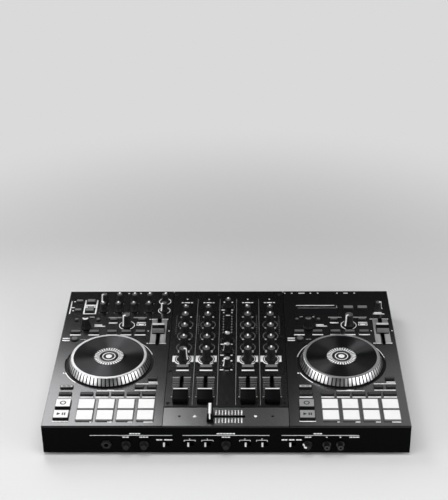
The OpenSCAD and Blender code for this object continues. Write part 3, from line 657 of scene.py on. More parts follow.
def key_cap(piece, corners, corner_r, crown, border, side, face):
    """Adds a cap over a key's solid, whose box is one flange wider on each side."""
    low, high = corners
    at = middle(corners)
    size = (high.x - low.x - 2 * FLANGE, high.y - low.y - 2 * FLANGE, high.z - foot_z)
    block = stretched((at.x, at.y, (foot_z + high.z) / 2), size)
    part = bmesh.new()
    bmesh.ops.create_cube(part, size=1, matrix=block)
    upright = [e for e in part.edges if abs(e.verts[0].co.z - e.verts[1].co.z) > TINY]
    soften(part, upright, corner_r, segments=5)
    rim = [e for e in part.edges if min(v.co.z for v in e.verts) > high.z - TINY]
    soften(part, rim, crown, segments=3)
    paint(part, side)
    tops = [f for f in part.faces if f.normal.z > FACES_UP]
    if border:
        bmesh.ops.inset_region(part, faces=tops, thickness=border, depth=0)
    for top in tops:
        top.material_index = face
    drop_in(piece, part)


# %% Pads
PAD_FACE, PAD_SIDE = 0, 1
pad_finishes = [pad_lit, pad_side]
for side in SIDES:
    body = side + "_pads"
    pads = bmesh.new()
    for corners in solids(body):
        key_cap(pads, corners, corner_r=1.2, crown=0.7, border=0.3, side=PAD_SIDE, face=PAD_FACE)
    hand_in(pads, side + "_pad_set", pad_finishes, body, body)

# %% [markdown]
# The two large transport keys carry a mark each: a ring for the set point and a triangle with two bars
# for start and stop. Their marks ride on the keys, so they are a sheet of their own.

# %% Transport keys
KEY_SIDE, KEY_FACE = 0, 1
STOP_BARS = ((2.4, 0, 1.8, 5.4), (5.4, 0, 1.8, 5.4))
transport_face = {"left": key_lit, "right": key_mid}
for side in SIDES:
    body = side + "_transport_keys"
    keys = bmesh.new()
    for corners in solids(body):
        key_cap(keys, corners, corner_r=1.2, crown=0.5, border=0.15, side=KEY_SIDE, face=KEY_FACE)
    finishes = [key_frame, transport_face[side]]
    hand_in(keys, side + "_transport_pair", finishes, body, body)
    start_key, cue_key = solids(body)
    key_marks = bmesh.new()
    start = middle(start_key)
    wedge(key_marks, start.x - 4.0, start.y, 3.4, DARK_INK)
    bars(key_marks, start, STOP_BARS, DARK_INK)
    ring_mark(key_marks, middle(cue_key), 3.6, 1.5, DARK_INK)
    hand_in_print(key_marks, side + "_transport_marks", (0, 0, start_key[1].z + INK_TOP), body)

# %% [markdown]
# The small keys share one helper too. Round keys are a spun outline instead of a block, which keeps
# their edge as soft as that of the others.

# %% A round key cap
TURN_STEPS = 40
ROUND_KEY_STEPS = 32
MERGE_MM = 1e-4
ROUND_WITHIN = 0.3


def spun(part, outline, steps=TURN_STEPS):
    """Spins an outline of (radius, height) points round the Z axis into a closed skin."""
    chain = [part.verts.new((r, 0, z)) for r, z in outline]
    links = [part.edges.new(pair) for pair in zip(chain, chain[1:])]
    spin(part, chain + links, FULL_TURN, steps)
    bmesh.ops.remove_doubles(part, verts=part.verts, dist=MERGE_MM)
    bmesh.ops.recalc_face_normals(part, faces=part.faces)


def is_round(corners):
    size = corners[1] - corners[0]
    return abs(size.x - size.y) < ROUND_WITHIN


def round_cap(piece, corners, side, face):
    """Adds a round key cap over a solid whose box is one flange wider on each side."""
    low, high = corners
    at = middle(corners)
    radius = (high.x - low.x) / 2 - FLANGE
    outline = [
        (0, high.z),
        (radius - 1.1, high.z),
        (radius - 0.35, high.z - 0.15),
        (radius, high.z - 0.6),
        (radius, foot_z),
        (0, foot_z),
    ]
    part = bmesh.new()
    spun(part, outline, ROUND_KEY_STEPS)
    paint(part, lambda spot: face if spot.z > high.z - 0.05 else side)
    drop_in(piece, part, (at.x, at.y, 0))


# %% Small deck keys
DARK, GREY, LIT, SOFT = 0, 1, 2, 3
small_key_finishes = [key_dark, key_grey, cap_pale, key_top]
LIT_KEY = (1, 0)
GREY_ROWS = (4, 5)
MARKED_KEYS = ((0, 0), (1, 0))
KEY_MARKS = ((-3.4, 0, 5.2, 1.8), (3.2, 0, 5.6, 1.8))
for side in SIDES:
    keys = bmesh.new()
    key_marks = bmesh.new()
    for r, row in enumerate(key_rows[side]):
        for c, corners in enumerate(row):
            face = LIT if (r, c) == LIT_KEY else GREY if r in GREY_ROWS else SOFT
            border = 0 if face == GREY else 0.35
            if is_round(corners):
                round_cap(keys, corners, side=DARK, face=GREY)
            else:
                key_cap(keys, corners, 0.9, 0.5, border, side=DARK, face=face)
            if (r, c) in MARKED_KEYS:
                bars(key_marks, middle(corners), KEY_MARKS, DARK_INK)
    body = side + "_keys"
    key_top_z = key_rows[side][0][0][1].z
    hand_in(keys, side + "_key_set", small_key_finishes, body, body)
    hand_in_print(key_marks, side + "_key_marks", (0, 0, key_top_z + INK_TOP), body)

# %% [markdown]
# The mixer has one key in each channel strip, and a few more stand at the rear corners. They are the
# same mouldings as the deck keys, with a paler top, so the same two caps serve.

# %% Mixer keys
keys = bmesh.new()
for corners in solids("mixer_keys"):
    if is_round(corners):
        round_cap(keys, corners, side=KEY_SIDE, face=KEY_FACE)
    else:
        key_cap(keys, corners, 0.8, 0.5, border=0, side=KEY_SIDE, face=KEY_FACE)
hand_in(keys, "mixer_key_set", [key_dark, key_pale], "mixer_keys", "mixer_keys")

# %% [markdown]
# ## Knobs
# Every rotary knob is the same turned shape at another size: a flat grey top, a body that narrows a
# little below it, and a wide foot. A spun outline gives that in one step. The white pointer runs from
# near the middle of the top over the edge and down the side, so its side view is the same outline with
# a thickness, extruded across, and it is turned with the knob.

# %% The outline of a knob
SKIRT = 2.2


def knob_outline(foot_r, height):
    """Radius and height points of a knob, from the middle of its top to the middle of its foot."""
    top_r = foot_r - SKIRT
    return [
        (0, height - 0.15),
        (top_r - 1.1, height - 0.15),
        (top_r - 0.7, height),
        (top_r - 0.25, height - 0.12),
        (top_r, height - 0.7),
        (top_r + 0.2, height * 0.6),
        (top_r + 0.75, height * 0.33),
        (foot_r - 1.0, 3.0),
        (foot_r - 0.15, 2.0),
        (foot_r, 1.5),
        (foot_r, 0.5),
        (0, 0.5),
    ]


# %% A pointer
POINTER_W = 2.3
POINTER_PROUD = 0.45
POINTER_DEEP = 0.4
POINTER_FROM = 1.2
POINTER_POINTS = 9
KNOB_SIDE, KNOB_TOP, KNOB_LINE = 0, 1, 2


def swept(side_view, width):
    """A new part: a side view of (along, height) points, extruded across."""
    part = bmesh.new()
    end = part.faces.new([part.verts.new((-width / 2, y, z)) for y, z in side_view])
    far = bmesh.ops.extrude_face_region(part, geom=[end])["geom"]
    moved = [item for item in far if isinstance(item, bmesh.types.BMVert)]
    bmesh.ops.translate(part, vec=(width, 0, 0), verts=moved)
    bmesh.ops.recalc_face_normals(part, faces=part.faces)
    return part


def pointer(part, outline, turn_deg):
    """Adds the white line that runs over the top and down the side, and turns it with the knob."""
    track = [(POINTER_FROM, outline[0][1]), *outline[1:POINTER_POINTS]]
    over = [(r + POINTER_PROUD, z + POINTER_PROUD) for r, z in track]
    under = [(r - POINTER_DEEP, z - POINTER_DEEP) for r, z in reversed(track)]
    line = swept(over + under, POINTER_W)
    paint(line, KNOB_LINE)
    drop_in(part, line, turn=Matrix.Rotation(math.radians(turn_deg), 3, "Z"))


# %% A knob with its pointer
TOP_DEPTH = 0.3
knob_finishes = [knob_rubber, knob_top, white_ink]


def knob(piece, place, foot_r, height, turn_deg, lean=None):
    """Adds a knob with its pointer turned anticlockwise from the back, in degrees, or with none."""
    height -= POINTER_PROUD
    outline = knob_outline(foot_r, height)
    part = bmesh.new()
    spun(part, outline)
    paint(part, lambda spot: KNOB_TOP if spot.z > height - TOP_DEPTH and not lean else KNOB_SIDE)
    if turn_deg is not None:
        pointer(part, outline, turn_deg)
    drop_in(piece, part, place, lean)


# %% [markdown]
# The two browse knobs have flutes for the fingers. They could be cut one by one. Here the outline is
# spun in a multiple of their number, and the columns that fall on a flute are drawn in towards the
# axis. The jog wheels use the same helper for their ribs.

# %% A fluted knob
FLUTES = 16
COLUMNS_PER_FLUTE = 4
FLUTE_COLUMNS = (0, 1)
FLUTE_DEPTH = 0.7


def draw_in(part, count, columns, grooves, depth, chosen):
    """Moves the chosen points of a spun skin that stand on a groove towards the axis."""
    step = FULL_TURN / (count * columns)
    for vert in part.verts:
        column = round(math.atan2(vert.co.y, vert.co.x) / step) % columns
        if column in grooves and chosen(vert.co):
            radius = math.hypot(vert.co.x, vert.co.y)
            vert.co.x *= (radius - depth) / radius
            vert.co.y *= (radius - depth) / radius


def browse_cap(piece, place, foot_r, height):
    """Adds a fluted knob with a painted highlight on its top, up to a line behind its middle."""
    top_r = foot_r - SKIRT
    outline = [
        (0, height),
        (top_r - 1.6, height),
        (top_r - 0.3, height - 0.5),
        (top_r + 0.3, height * 0.6),
        (top_r + 0.9, 3.4),
        (foot_r, 1.7),
        (foot_r, 0.5),
        (0, 0.5),
    ]
    part = bmesh.new()
    spun(part, outline, FLUTES * COLUMNS_PER_FLUTE)

    def on_side(spot):
        return 3 < spot.z < height - 0.2

    draw_in(part, FLUTES, COLUMNS_PER_FLUTE, FLUTE_COLUMNS, FLUTE_DEPTH, on_side)
    paint(part, lambda spot: KNOB_TOP if spot.z > height - 0.1 and spot.y < 1.2 else KNOB_SIDE)
    drop_in(piece, part, place)


# %% [markdown]
# A knob that turns is a piece of its own on its own body. Its joint says where its axis stands and
# how far it may turn, and the middle of that range is where the pointer looks to the back.

# %% Knobs that turn
ENCODER_TURN = 135
POINTER_SHIFT = {"filter_knob_1": 20, "level_knob": -15}
PALE_TOPS = ("level_knob", "mix_knob", "booth_knob")
# Painted highlight: the left browse top is white and the right one grey, as the light falls on them
browse_top_highlight = {"left_browse_knob": switch_white, "right_browse_knob": cap_grey}
for joint in frame["joints"]:
    node = joint["child"]
    if joint["type"] != "hinge" or node not in nodes:
        continue
    _, high, _, size = measured(node)
    axis = Vector(joint["pos_m"]) / MM
    foot_r = size.x / 2
    height = high.z - axis.z
    limits = joint.get("range_deg")
    turn_deg = -sum(limits) / 2 if limits else ENCODER_TURN
    turned = bmesh.new()
    dress = knob_finishes
    if node in browse_top_highlight:
        browse_cap(turned, axis, foot_r, height)
        dress = [knob_rubber, browse_top_highlight[node]]
    else:
        knob(turned, axis, foot_r, height, turn_deg + POINTER_SHIFT.get(node, 0))
    if node in PALE_TOPS:
        dress = [knob_rubber, key_mid, white_ink]
    hand_in(turned, node + "_cap", dress, node, node)

# %% [markdown]
# The input knobs, the trims and the knobs of the front face stay as they are set. They share one
# node, so they are one piece, and those on the front face are tipped over to look forwards.

# %% Knobs that stay as set
INPUT_TURNS = (0, 0, 0, 0, 130, 130, 0, 0, 0, -25)
TRIM_TURNS = (20, 0, 25, 0)
SAMPLER_TURN = -90
FRONT_TURNS = (None, None, None, 75)
face_on = Matrix.Rotation(math.pi / 2, 3, "X")
front_y = box_mm("front_fascia")[0].y
upright_knobs = [c for c in solids("fixed_knobs") if c[1].z > top_z]
front_knobs = [c for c in solids("fixed_knobs") if c[1].z <= top_z]
trims = [c for c in upright_knobs if on_mixer(c)]
inputs = [c for c in upright_knobs if middle(c).x < -mixer_half]
samplers = [c for c in upright_knobs if middle(c).x > mixer_half]
settings = [*zip(inputs, INPUT_TURNS), *zip(trims, TRIM_TURNS)]
settings += [(corners, SAMPLER_TURN) for corners in samplers]
set_knobs = bmesh.new()
for (low, high), turn_deg in settings:
    at = middle((low, high))
    knob(set_knobs, (at.x, at.y, top_z), (high.x - low.x) / 2, high.z - top_z, turn_deg)
for (low, high), turn_deg in zip(front_knobs, FRONT_TURNS):
    at = middle((low, high))
    place = (at.x, front_y, at.z)
    knob(set_knobs, place, (high.x - low.x) / 2, front_y - low.y, turn_deg, face_on)
hand_in(set_knobs, "set_knob_caps", knob_finishes, "case", "fixed_knobs")

# %% [markdown]
# ## Fader caps
# A fader cap is a moulding with one shape from end to end, so its side view is drawn as a face,
# extruded across, and bevelled on every sharp edge. A thin raised line in another finish shows where
# the cap stands.

# %% A cap from its side view
CAP_BLACK, CAP_WHITE, CAP_LIP_SHEEN, CAP_PALE = 0, 1, 2, 3
cap_finishes = [cap_plastic, white_ink, cap_grey, cap_pale]
SHARP_FROM = math.radians(40)
LINE_T = 0.12


def fader_cap(piece, side_view, width, place, round_off, tone=CAP_BLACK, turn=None):
    """Adds a cap that is a side view drawn across, with soft edges."""
    part = swept(side_view, width)
    sharp = [e for e in part.edges if e.calc_face_angle(0) > SHARP_FROM]
    soften(part, sharp, round_off, segments=3)
    paint(part, tone)
    drop_in(piece, part, place, turn)


def cap_line(piece, place, size):
    """Adds a thin white block, the line on a cap."""
    part = bmesh.new()
    bmesh.ops.create_cube(part, size=1, matrix=stretched(place, size))
    paint(part, CAP_WHITE)
    drop_in(piece, part)


# %% [markdown]
# A channel cap has a white crest at its back and a face that falls away to the front. A tempo cap is a
# seat for the finger: a high crest, a hollow and a lower lip, with a painted highlight on the crest
# and a painted sheen on the lip.

# %% Channel and tempo faders
SEAT_HALF = 9
CREST_Y, CREST_Z = 2.6, 10
LIP_Y, LIP_Z = -5.2, 2.8


def ramp(length, height):
    """Side view of a channel cap."""
    end = length / 2
    back = [(end, 0.5), (end - 0.4, height * 0.8), (end - 0.9, height - 0.2), (end - 1.4, height)]
    face = [(end - 3.4, height - 0.2), (end - 4.2, height - 1.4), (1 - end, height * 0.68)]
    return back + face + [(0.3 - end, height * 0.55), (-end, 0.5)]


def seat(length, height):
    """Side view of a tempo cap."""
    end = length / 2
    back = [(end, 0.5), (end - 0.7, height * 0.72), (end - 1.6, height - 0.5), (end - 2.6, height)]
    hollow = [(0.34 * end, 0.87 * height), (-0.19 * end, 0.7 * height), (-0.4 * end, 0.71 * height)]
    lip = [(-0.73 * end, 0.8 * height), (-0.88 * end, 0.73 * height), (-0.95 * end, 0.22 * height)]
    return back + hollow + lip + [(-end, 0.5)]


def seat_tone_and_highlight(spot):
    """Black, with a painted highlight on the back crest and a painted sheen on the front lip."""
    if abs(spot.x) > SEAT_HALF:
        return CAP_BLACK
    if spot.y > CREST_Y and spot.z > CREST_Z:
        return CAP_PALE
    return CAP_LIP_SHEEN if spot.y < LIP_Y and spot.z > LIP_Z else CAP_BLACK


for node in [f"channel_fader_{channel}" for channel in CHANNELS]:
    low, high, at, size = measured(node)
    cap = bmesh.new()
    fader_cap(cap, ramp(size.y, high.z - top_z), size.x, (at.x, at.y, top_z), round_off=0.5)
    cap_line(cap, (at.x, high.y - 2.3, high.z - 0.05), (size.x - 1.4, 1.9, LINE_T))
    hand_in(cap, node + "_cap", cap_finishes, node, node)
for node in [side + "_tempo_fader" for side in SIDES]:
    low, high, at, size = measured(node)
    cap = bmesh.new()
    side_view = seat(size.y, high.z - top_z)
    fader_cap(cap, side_view, size.x, (at.x, at.y, top_z), round_off=0.4, tone=seat_tone_and_highlight)
    hand_in(cap, node + "_cap", cap_finishes, node, node)

# %% [markdown]
# The crossfader cap is a narrow blade that stands across its slot. Its view from the end is drawn, the
# same on both sides, and extruded and turned a quarter. A white line runs over its top and down its
# front.

# %% Crossfader
low, high, at, size = measured("crossfader")
height = high.z - top_z
blade = [
    (-size.x / 2, 0.5),
    (size.x / 2, 0.5),
    (size.x * 0.41, height * 0.55),
    (size.x * 0.3, height - 0.8),
    (size.x * 0.22, height),
    (-size.x * 0.22, height),
    (-size.x * 0.3, height - 0.8),
    (-size.x * 0.41, height * 0.55),
]


def blade_tone(spot):
    return CAP_PALE if spot.z > height - 0.5 else CAP_BLACK


cap = bmesh.new()
across = Matrix.Rotation(math.pi / 2, 3, "Z")
fader_cap(cap, blade, size.y, (at.x, at.y, top_z), 0.35, blade_tone, across)
cap_line(cap, (at.x, at.y, high.z - 0.04), (2.2, size.y - 0.8, LINE_T))
cap_line(cap, (at.x, low.y + 0.02, top_z + height * 0.65), (1.9, LINE_T, height * 0.66))
hand_in(cap, "crossfader_cap", cap_finishes, "crossfader", "crossfader")

# %% [markdown]
# ## Jog wheels
# A jog wheel is the part that takes most care: a bright ring with a ribbed, sloping side that a hand
# pushes, round a black disc that it touches. The side could be cut rib by rib. Here the outline is
# spun in a multiple of the rib count, and then the columns that fall on a groove are drawn in towards
# the axis, which keeps each rib an even facet with a clean edge.

# %% Ribbed wheel
RIBS = 64
COLUMNS_PER_RIB = 6
GROOVE_COLUMN = (0,)
GROOVE_FACES = (0, 5)
GROOVE_DEPTH = 1.25
RIM_W = 4.6
RIB_FROM = 0.4
WHEEL_SMOOTH_BELOW_DEG = 25
BRIGHT, WHEEL_SHADE, RIM = 0, 1, 2
wheel_finishes = [jog_metal, painted_shade_black, jog_rim]


def jog_wheel(side):
    """The ring of a jog wheel with its ribs, in millimetres round its own axis."""
    _, high, at, size = measured(side + "_jog_wheel")
    disc_r = measured(side + "_touch_disc")[3].x / 2
    foot_r = size.x / 2
    rim_z = high.z
    rim_r = disc_r + RIM_W
    hidden_z = top_z - 0.5
    outline = [
        (disc_r + 0.2, hidden_z),
        (disc_r + 0.2, rim_z - 0.5),
        (disc_r + 0.7, rim_z),
        (rim_r - 0.5, rim_z),
        (rim_r + 0.25, rim_z - 0.35),
        (rim_r + 0.7, rim_z - 1.0),
        (foot_r - 0.15, top_z + 0.9),
        (foot_r, top_z + 0.4),
        (foot_r, hidden_z),
        (disc_r + 0.2, hidden_z),
    ]

    def on_side(spot):
        return math.hypot(spot.x, spot.y) > rim_r + RIB_FROM

    # Painted shade: the grooves between the ribs, the inner wall next to the disc and the lowest band
    # of the side are painted black, as they lie in shadow
    def wheel_tone_and_shade(spot):
        step = FULL_TURN / (RIBS * COLUMNS_PER_RIB)
        column = math.floor(math.atan2(spot.y, spot.x) / step) % COLUMNS_PER_RIB
        groove = column in GROOVE_FACES and on_side(spot)
        inner = math.hypot(spot.x, spot.y) < disc_r + 0.6
        if groove or inner or spot.z < top_z + 0.7:
            return WHEEL_SHADE
        return RIM if spot.z > rim_z - 0.3 else BRIGHT

    wheel = bmesh.new()
    spun(wheel, outline, RIBS * COLUMNS_PER_RIB)
    draw_in(wheel, RIBS, COLUMNS_PER_RIB, GROOVE_COLUMN, GROOVE_DEPTH, on_side)
    paint(wheel, wheel_tone_and_shade)
    put(wheel, (at.x, at.y, 0))
    name, body, node = (side + end for end in ("_jog_ring", "_jog", "_jog_wheel"))
    hand_in(wheel, name, wheel_finishes, body, node, WHEEL_SMOOTH_BELOW_DEG)


for side in SIDES:
    jog_wheel(side)

# %% [markdown]
# The touch disc is black, and turning marks in it spread a highlight into two bright wedges. That is
# an anisotropic reflection: the gloss is stretched along the marks. A radial tangent gives the
# direction, and a ring pattern centred on the disc with a Mapping node gives the marks themselves.

# %% The finish of a touch disc
DISC_TONE = (0.075, 0.075, 0.078)
DISC_SKIN = (60, 1500, 0.01)
QUARTER = 0.25
MARK_SCALE = 260
MARK_WAVER = 0.4
MARK_STRENGTH = 0.12
MARK_DEPTH = 0.05


def disc_finish(side, centre):
    """A black spun surface with turning marks round a centre in millimetres."""
    material = finish(side + "_disc_spun", DISC_TONE, 0.42, DISC_SKIN, 0.12, metallic=1)
    tree = material.node_tree
    shader = shader_of(material)
    shader.inputs["Anisotropic"].default_value = 1.0
    shader.inputs["Anisotropic Rotation"].default_value = QUARTER
    tangent = add_node(tree, "Tangent", direction_type="RADIAL", axis="Z")
    where = add_node(tree, "TexCoord")
    shift = (-centre.x * MM, -centre.y * MM, 0)
    centred = add_node(tree, "Mapping", {"Location": shift})
    mark_values = {"Scale": MARK_SCALE, "Distortion": MARK_WAVER}
    marks = add_node(tree, "TexWave", mark_values, wave_type="RINGS", rings_direction="Z")
    groove = add_node(tree, "Bump", {"Strength": MARK_STRENGTH, "Distance": MARK_DEPTH * MM})
    wire(
        tree,
        (tangent.outputs["Tangent"], shader.inputs["Tangent"]),
        (where.outputs["Object"], centred.inputs["Vector"]),
        (centred.outputs["Vector"], marks.inputs["Vector"]),
        (marks.outputs["Fac"], groove.inputs["Height"]),
        (groove.outputs["Normal"], shader.inputs["Normal"]),
    )
    return material


# %% Touch disc
DISC_STEPS = 128
TICKS = 32
TICK_STEP = 360 / TICKS
TICK_SHARE = 0.58
TICK_RING = 17.9
TICK_LENGTH = 7.4
EMBLEM_RINGS = ((15.3, 2.4), (9.2, 1.3), (2.4, 4.6))
for side in SIDES:
    low, high, at, size = measured(side + "_touch_disc")
    disc_r = size.x / 2
    disc_z = high.z - 0.5
    outline = [
        (0, disc_z),
        (disc_r * 0.46, disc_z),
        (disc_r * 0.47, disc_z - 0.12),
        (disc_r * 0.48, disc_z),
        (disc_r - 1.2, disc_z + 0.25),
        (disc_r - 0.5, disc_z + 0.4),
        (disc_r, disc_z + 0.1),
        (disc_r, low.z),
        (0, low.z),
    ]
    body = side + "_jog"
    disc = bmesh.new()
    spun(disc, outline, DISC_STEPS)
    put(disc, (at.x, at.y, 0))
    finishes = [disc_finish(side, at)]
    hand_in(disc, side + "_touch_top", finishes, body, side + "_touch_disc")
    emblem = bmesh.new()
    for tick in range(TICKS):
        start, sweep = tick * TICK_STEP, TICK_SHARE * TICK_STEP
        ring_mark(emblem, at, TICK_RING, TICK_LENGTH, WHITE, start, sweep, steps=2)
    for radius, width in EMBLEM_RINGS:
        ring_mark(emblem, at, radius, width, WHITE, steps=72)
    hand_in_print(emblem, side + "_jog_marks", (0, 0, disc_z + INK_TOP), body)

# %% [markdown]
# ## Print on the case
# Most marks take their places from the keys and knobs that they belong to, so a label moves along when
# its key does. A row of four numbers is one bar: how far it lies across and along from the middle of
# its key or knob, its width and its depth.

# %% Print beside the keys of a deck
deck_print = bmesh.new()
START_BARS = ((0, -12.0, 23, 2.0), (0, 9.6, 9, 2.0))
PAD_LABELS = (3.3, 6.6, 6.6, 12.7)
PAD_LABEL_END = 11.5
MODE_BARS = ((0, -6.2, 18.6, 2.7),)
MODE_PAIR_BARS = ((0, 8.8, 40, 1.8), (0, 10.2, 10, 1.6))
UPPER_PAIR_BARS = ((0, -6.6, 31, 2.0), (1, 8.8, 32, 1.8))
UPPER_LAST_BARS = ((1, 12.8, 13, 2.2),)
LAYER_BARS = ((-13.4, 2.8, 11.5, 3.0), (-13.4, -2.8, 11.5, 3.0))
FIVE_BARS = ((0, -7.7, 16.7, 2.8),)
FIRST_BARS = ((0, -8.0, 13.5, 3.0),)
SECOND_BARS = ((0, -7.2, 14, 2.4), (0, -12.8, 8, 2.6))
SECOND_FRAME = (
    (0, -15, 14.3, 1.1),
    (0, -10.6, 14.3, 1.1),
    (-6.6, -12.8, 1.1, 3.3),
    (6.6, -12.8, 1.1, 3.3),
)


def key_labels(side):
    """Marks beside the pads and the keys of one deck."""
    rows = [[middle(corners) for corners in row] for row in key_rows[side]]
    mode_row, upper_row, _, layer_row, five_row, pair_row = rows[:6]
    bars(deck_print, middle(solids(side + "_transport_keys")[0]), START_BARS)
    for pad, width in zip(solids(side + "_pads"), PAD_LABELS):
        at = middle(pad)
        bar(deck_print, at.x + PAD_LABEL_END - width / 2, at.y - 13.4, width, 2.0)
    for at in mode_row:
        bars(deck_print, at, MODE_BARS)
    bars(deck_print, (mode_row[2] + mode_row[3]) / 2, MODE_PAIR_BARS)
    near, far = upper_row[1:]
    bars(deck_print, (near + far) / 2, UPPER_PAIR_BARS)
    bars(deck_print, far, UPPER_LAST_BARS)
    bars(deck_print, layer_row[0], LAYER_BARS)
    label(deck_print, layer_row[0].x + 13, layer_row[0].y, 9, 1.6, PALE)
    for at in five_row:
        bars(deck_print, at, FIVE_BARS)
    first, second = pair_row[2:]
    bars(deck_print, first, [(2, 7.4, 21, 2.8)], PALE)
    bars(deck_print, second, [(-3, 7.4, 21, 2.8)], PALE)
    bars(deck_print, first, FIRST_BARS)
    bars(deck_print, second, SECOND_BARS + SECOND_FRAME)


# %% [markdown]
# The wells of the jog wheels have a cut edge that catches the light at the back. That is a painted
# highlight, drawn as short white arcs just outside the well, since a ring that shines all round would
# look wrong at the front.

# %% Print round the knobs and the wheel of a deck
BROWSE_BARS = ((18.5, 6.8, 12, 2.8), (21.0, 3.2, 17, 2.2))
LINK_BARS = {
    "left": ((6.4, 29.4, 7.9, 0.9),),
    "right": ((-9.7, 29.4, 4.9, 0.9), (9.5, 29.4, 3.0, 0.9)),
}
TEMPO_SHIFT = {"left": 0, "right": -0.8}
TEMPO_END = 33.2
TEMPO_DOT_R = 1.1
ARROW_DEG = 203
ARROW_R = 70.5
EDGE_HIGHLIGHTS = {"left": [(18, 30)], "right": [(10, 26), (137, 31)]}


def tempo_scale(side):
    """The pale scale on both sides of a tempo slot, with white ends and dots."""
    tempo = centre_of(side + "_tempo_fader")
    slot = tempo + Vector((TEMPO_SHIFT[side], 1, 0))
    bar_pair(deck_print, slot, 7.6, 0, 8.6, 66, PALE)
    for end in (-TEMPO_END, TEMPO_END):
        bar_pair(deck_print, slot, 8.2, end, 9.8, 2.2)
        dot(deck_print, tempo.x - 15.4, slot.y + end, TEMPO_DOT_R)
    for hand in HANDS:
        dot(deck_print, slot.x + hand * 16, slot.y + 0.4, TEMPO_DOT_R)


def dial_labels(side):
    """Marks round the encoders and the jog wheel of one deck, with a painted shadow and painted
    highlights at the well.
    """
    arc(deck_print, centre_of(side + "_loop_knob"), 11.8, 1.1, 60, WHITE)
    bars(deck_print, centre_of(side + "_browse_knob"), BROWSE_BARS + LINK_BARS[side])
    jog = centre_of(side + "_jog_wheel")
    ring_mark(deck_print, jog, 67.6, 1.7, WHITE, ARROW_DEG, 26, steps=14)
    x, y = (ARROW_R * turn(math.radians(ARROW_DEG)) for turn in (math.cos, math.sin))
    wedge(deck_print, jog.x + x, jog.y + y, 2.4, turn_deg=110)
    # Painted shadow: a dark arc round the front of the well, in the gap under the wheel
    ring_mark(deck_print, jog, 66.0, 1.6, DARK_INK, 172, 194, steps=60)
    for start, sweep in EDGE_HIGHLIGHTS[side]:
        ring_mark(deck_print, jog, 66.1, 1.0, WHITE, start, sweep)


for side in SIDES:
    key_labels(side)
    tempo_scale(side)
    dial_labels(side)
hand_in_print(deck_print, "deck_print", on_panel)

# %% [markdown]
# At the back of the decks stand the inputs on the left and the display with its knob on the right.
# Their labels are fewer: rings, dots, a frame round two of the keys, and marks at the rear edge of the
# panel over the sockets.

# %% Print on the rear sections
rear_print = bmesh.new()
LAST_COLUMN = 4
FRAMED_KEY_BARS = (
    (0.3, -9, 20.6, 1.9),
    (-9.0, 11, 2.3, 40),
    (9.7, 11, 2.3, 40),
    (0.4, 15.4, 16.2, 4.0),
    (-6.0, 10.6, 3.4, 3.6),
    (6.8, 10.6, 3.4, 3.6),
)
FRAMED_KEY_PALE = ((0.4, 10.6, 7.4, 3.6),)
OUTER_KEY_BARS = ((-12.8, 9.6, 1.7, 37), (-10.2, 9.0, 7, 2.4))
SAMPLER_BARS = ((0, -12.0, 18, 2.2), (-1, -8.4, 12, 2.8))
SOCKETS_BY_WIDTH = {
    2: (91.5,),
    2.4: (-162, -142.7, 103, 133, 145, 176, 204),
    7: (190,),
    10: (118.5,),
}
for row in in_rows(inputs):
    arc(rear_print, middle(row[LAST_COLUMN]), 9.2, 1.1, 60, WHITE)
for at in map(middle, inputs):
    for hand in HANDS:
        dot(rear_print, at.x + hand * 6.4, at.y - 6.6, 0.7, PALE)
rear_left_keys = [c for c in solids("mixer_keys") if middle(c).x < -mixer_half]
outer_key, framed_key, outer_rear_key, _ = map(middle, rear_left_keys)
bars(rear_print, framed_key, FRAMED_KEY_BARS)
bars(rear_print, framed_key, FRAMED_KEY_PALE, PALE)
bars(rear_print, outer_key, OUTER_KEY_BARS)
for at in (outer_key, outer_rear_key):
    dot(rear_print, at.x - 8.1, at.y, 1.4)
for width, places in SOCKETS_BY_WIDTH.items():
    for x in places:
        bar(rear_print, x, -front_y - 6.5, width, 1.8)
for at in map(middle, samplers):
    bars(rear_print, at, SAMPLER_BARS)
hand_in_print(rear_print, "rear_print", on_panel)

# %% [markdown]
# A channel strip repeats four times: rings round its three tone knobs, a white plate under its filter
# knob, a column of meter lamps and a scale beside its fader. One function draws a strip, and takes
# nearly all its places from the knobs, the key and the fader there.

# %% Print on the channel strips
mixer_print = bmesh.new()
mixer_front = box_mm("mixer_panel")[0].y
channel_keys = [c for c in solids("mixer_keys") if on_mixer(c)]
SEPARATORS = (-48.7, -13.3, 13.3, 48.7)
SEPARATOR_REAR = 152
KNOB_END = (7.5, -9.4, 2.8, 1.5)
FILTER_END = (7.6, 18.7, 2.2, 1.5)
FILTER_PLATE = ((-0.4, 1.0, 31.6, 15.8),)
TRIM_BARS = ((-7.4, 32.6, 3.2, 2.2), (0, 32.6, 9, 2.2), (7.4, 32.6, 3.2, 2.2))
CUE_BARS = ((0, -7.8, 19, 3.0),)
METER_LAMPS = 10
METER_FRONT, METER_STEP = 53, 5.4
SCALE_TICKS = 12
SCALE_STEP = 4.17


def fader_scale(strip):
    """Twelve ticks on each side of a channel fader, the last one larger, and two dots."""
    for tick in range(1, SCALE_TICKS + 1):
        size = (10.6, 2.8, PALE) if tick == SCALE_TICKS else (9.5, 1.3, FAINT)
        bar_pair(mixer_print, strip, 8.2, tick * SCALE_STEP, *size)
    for hand in HANDS:
        dot(mixer_print, strip.x + hand * 12.8, strip.y + 3.4, 0.9)


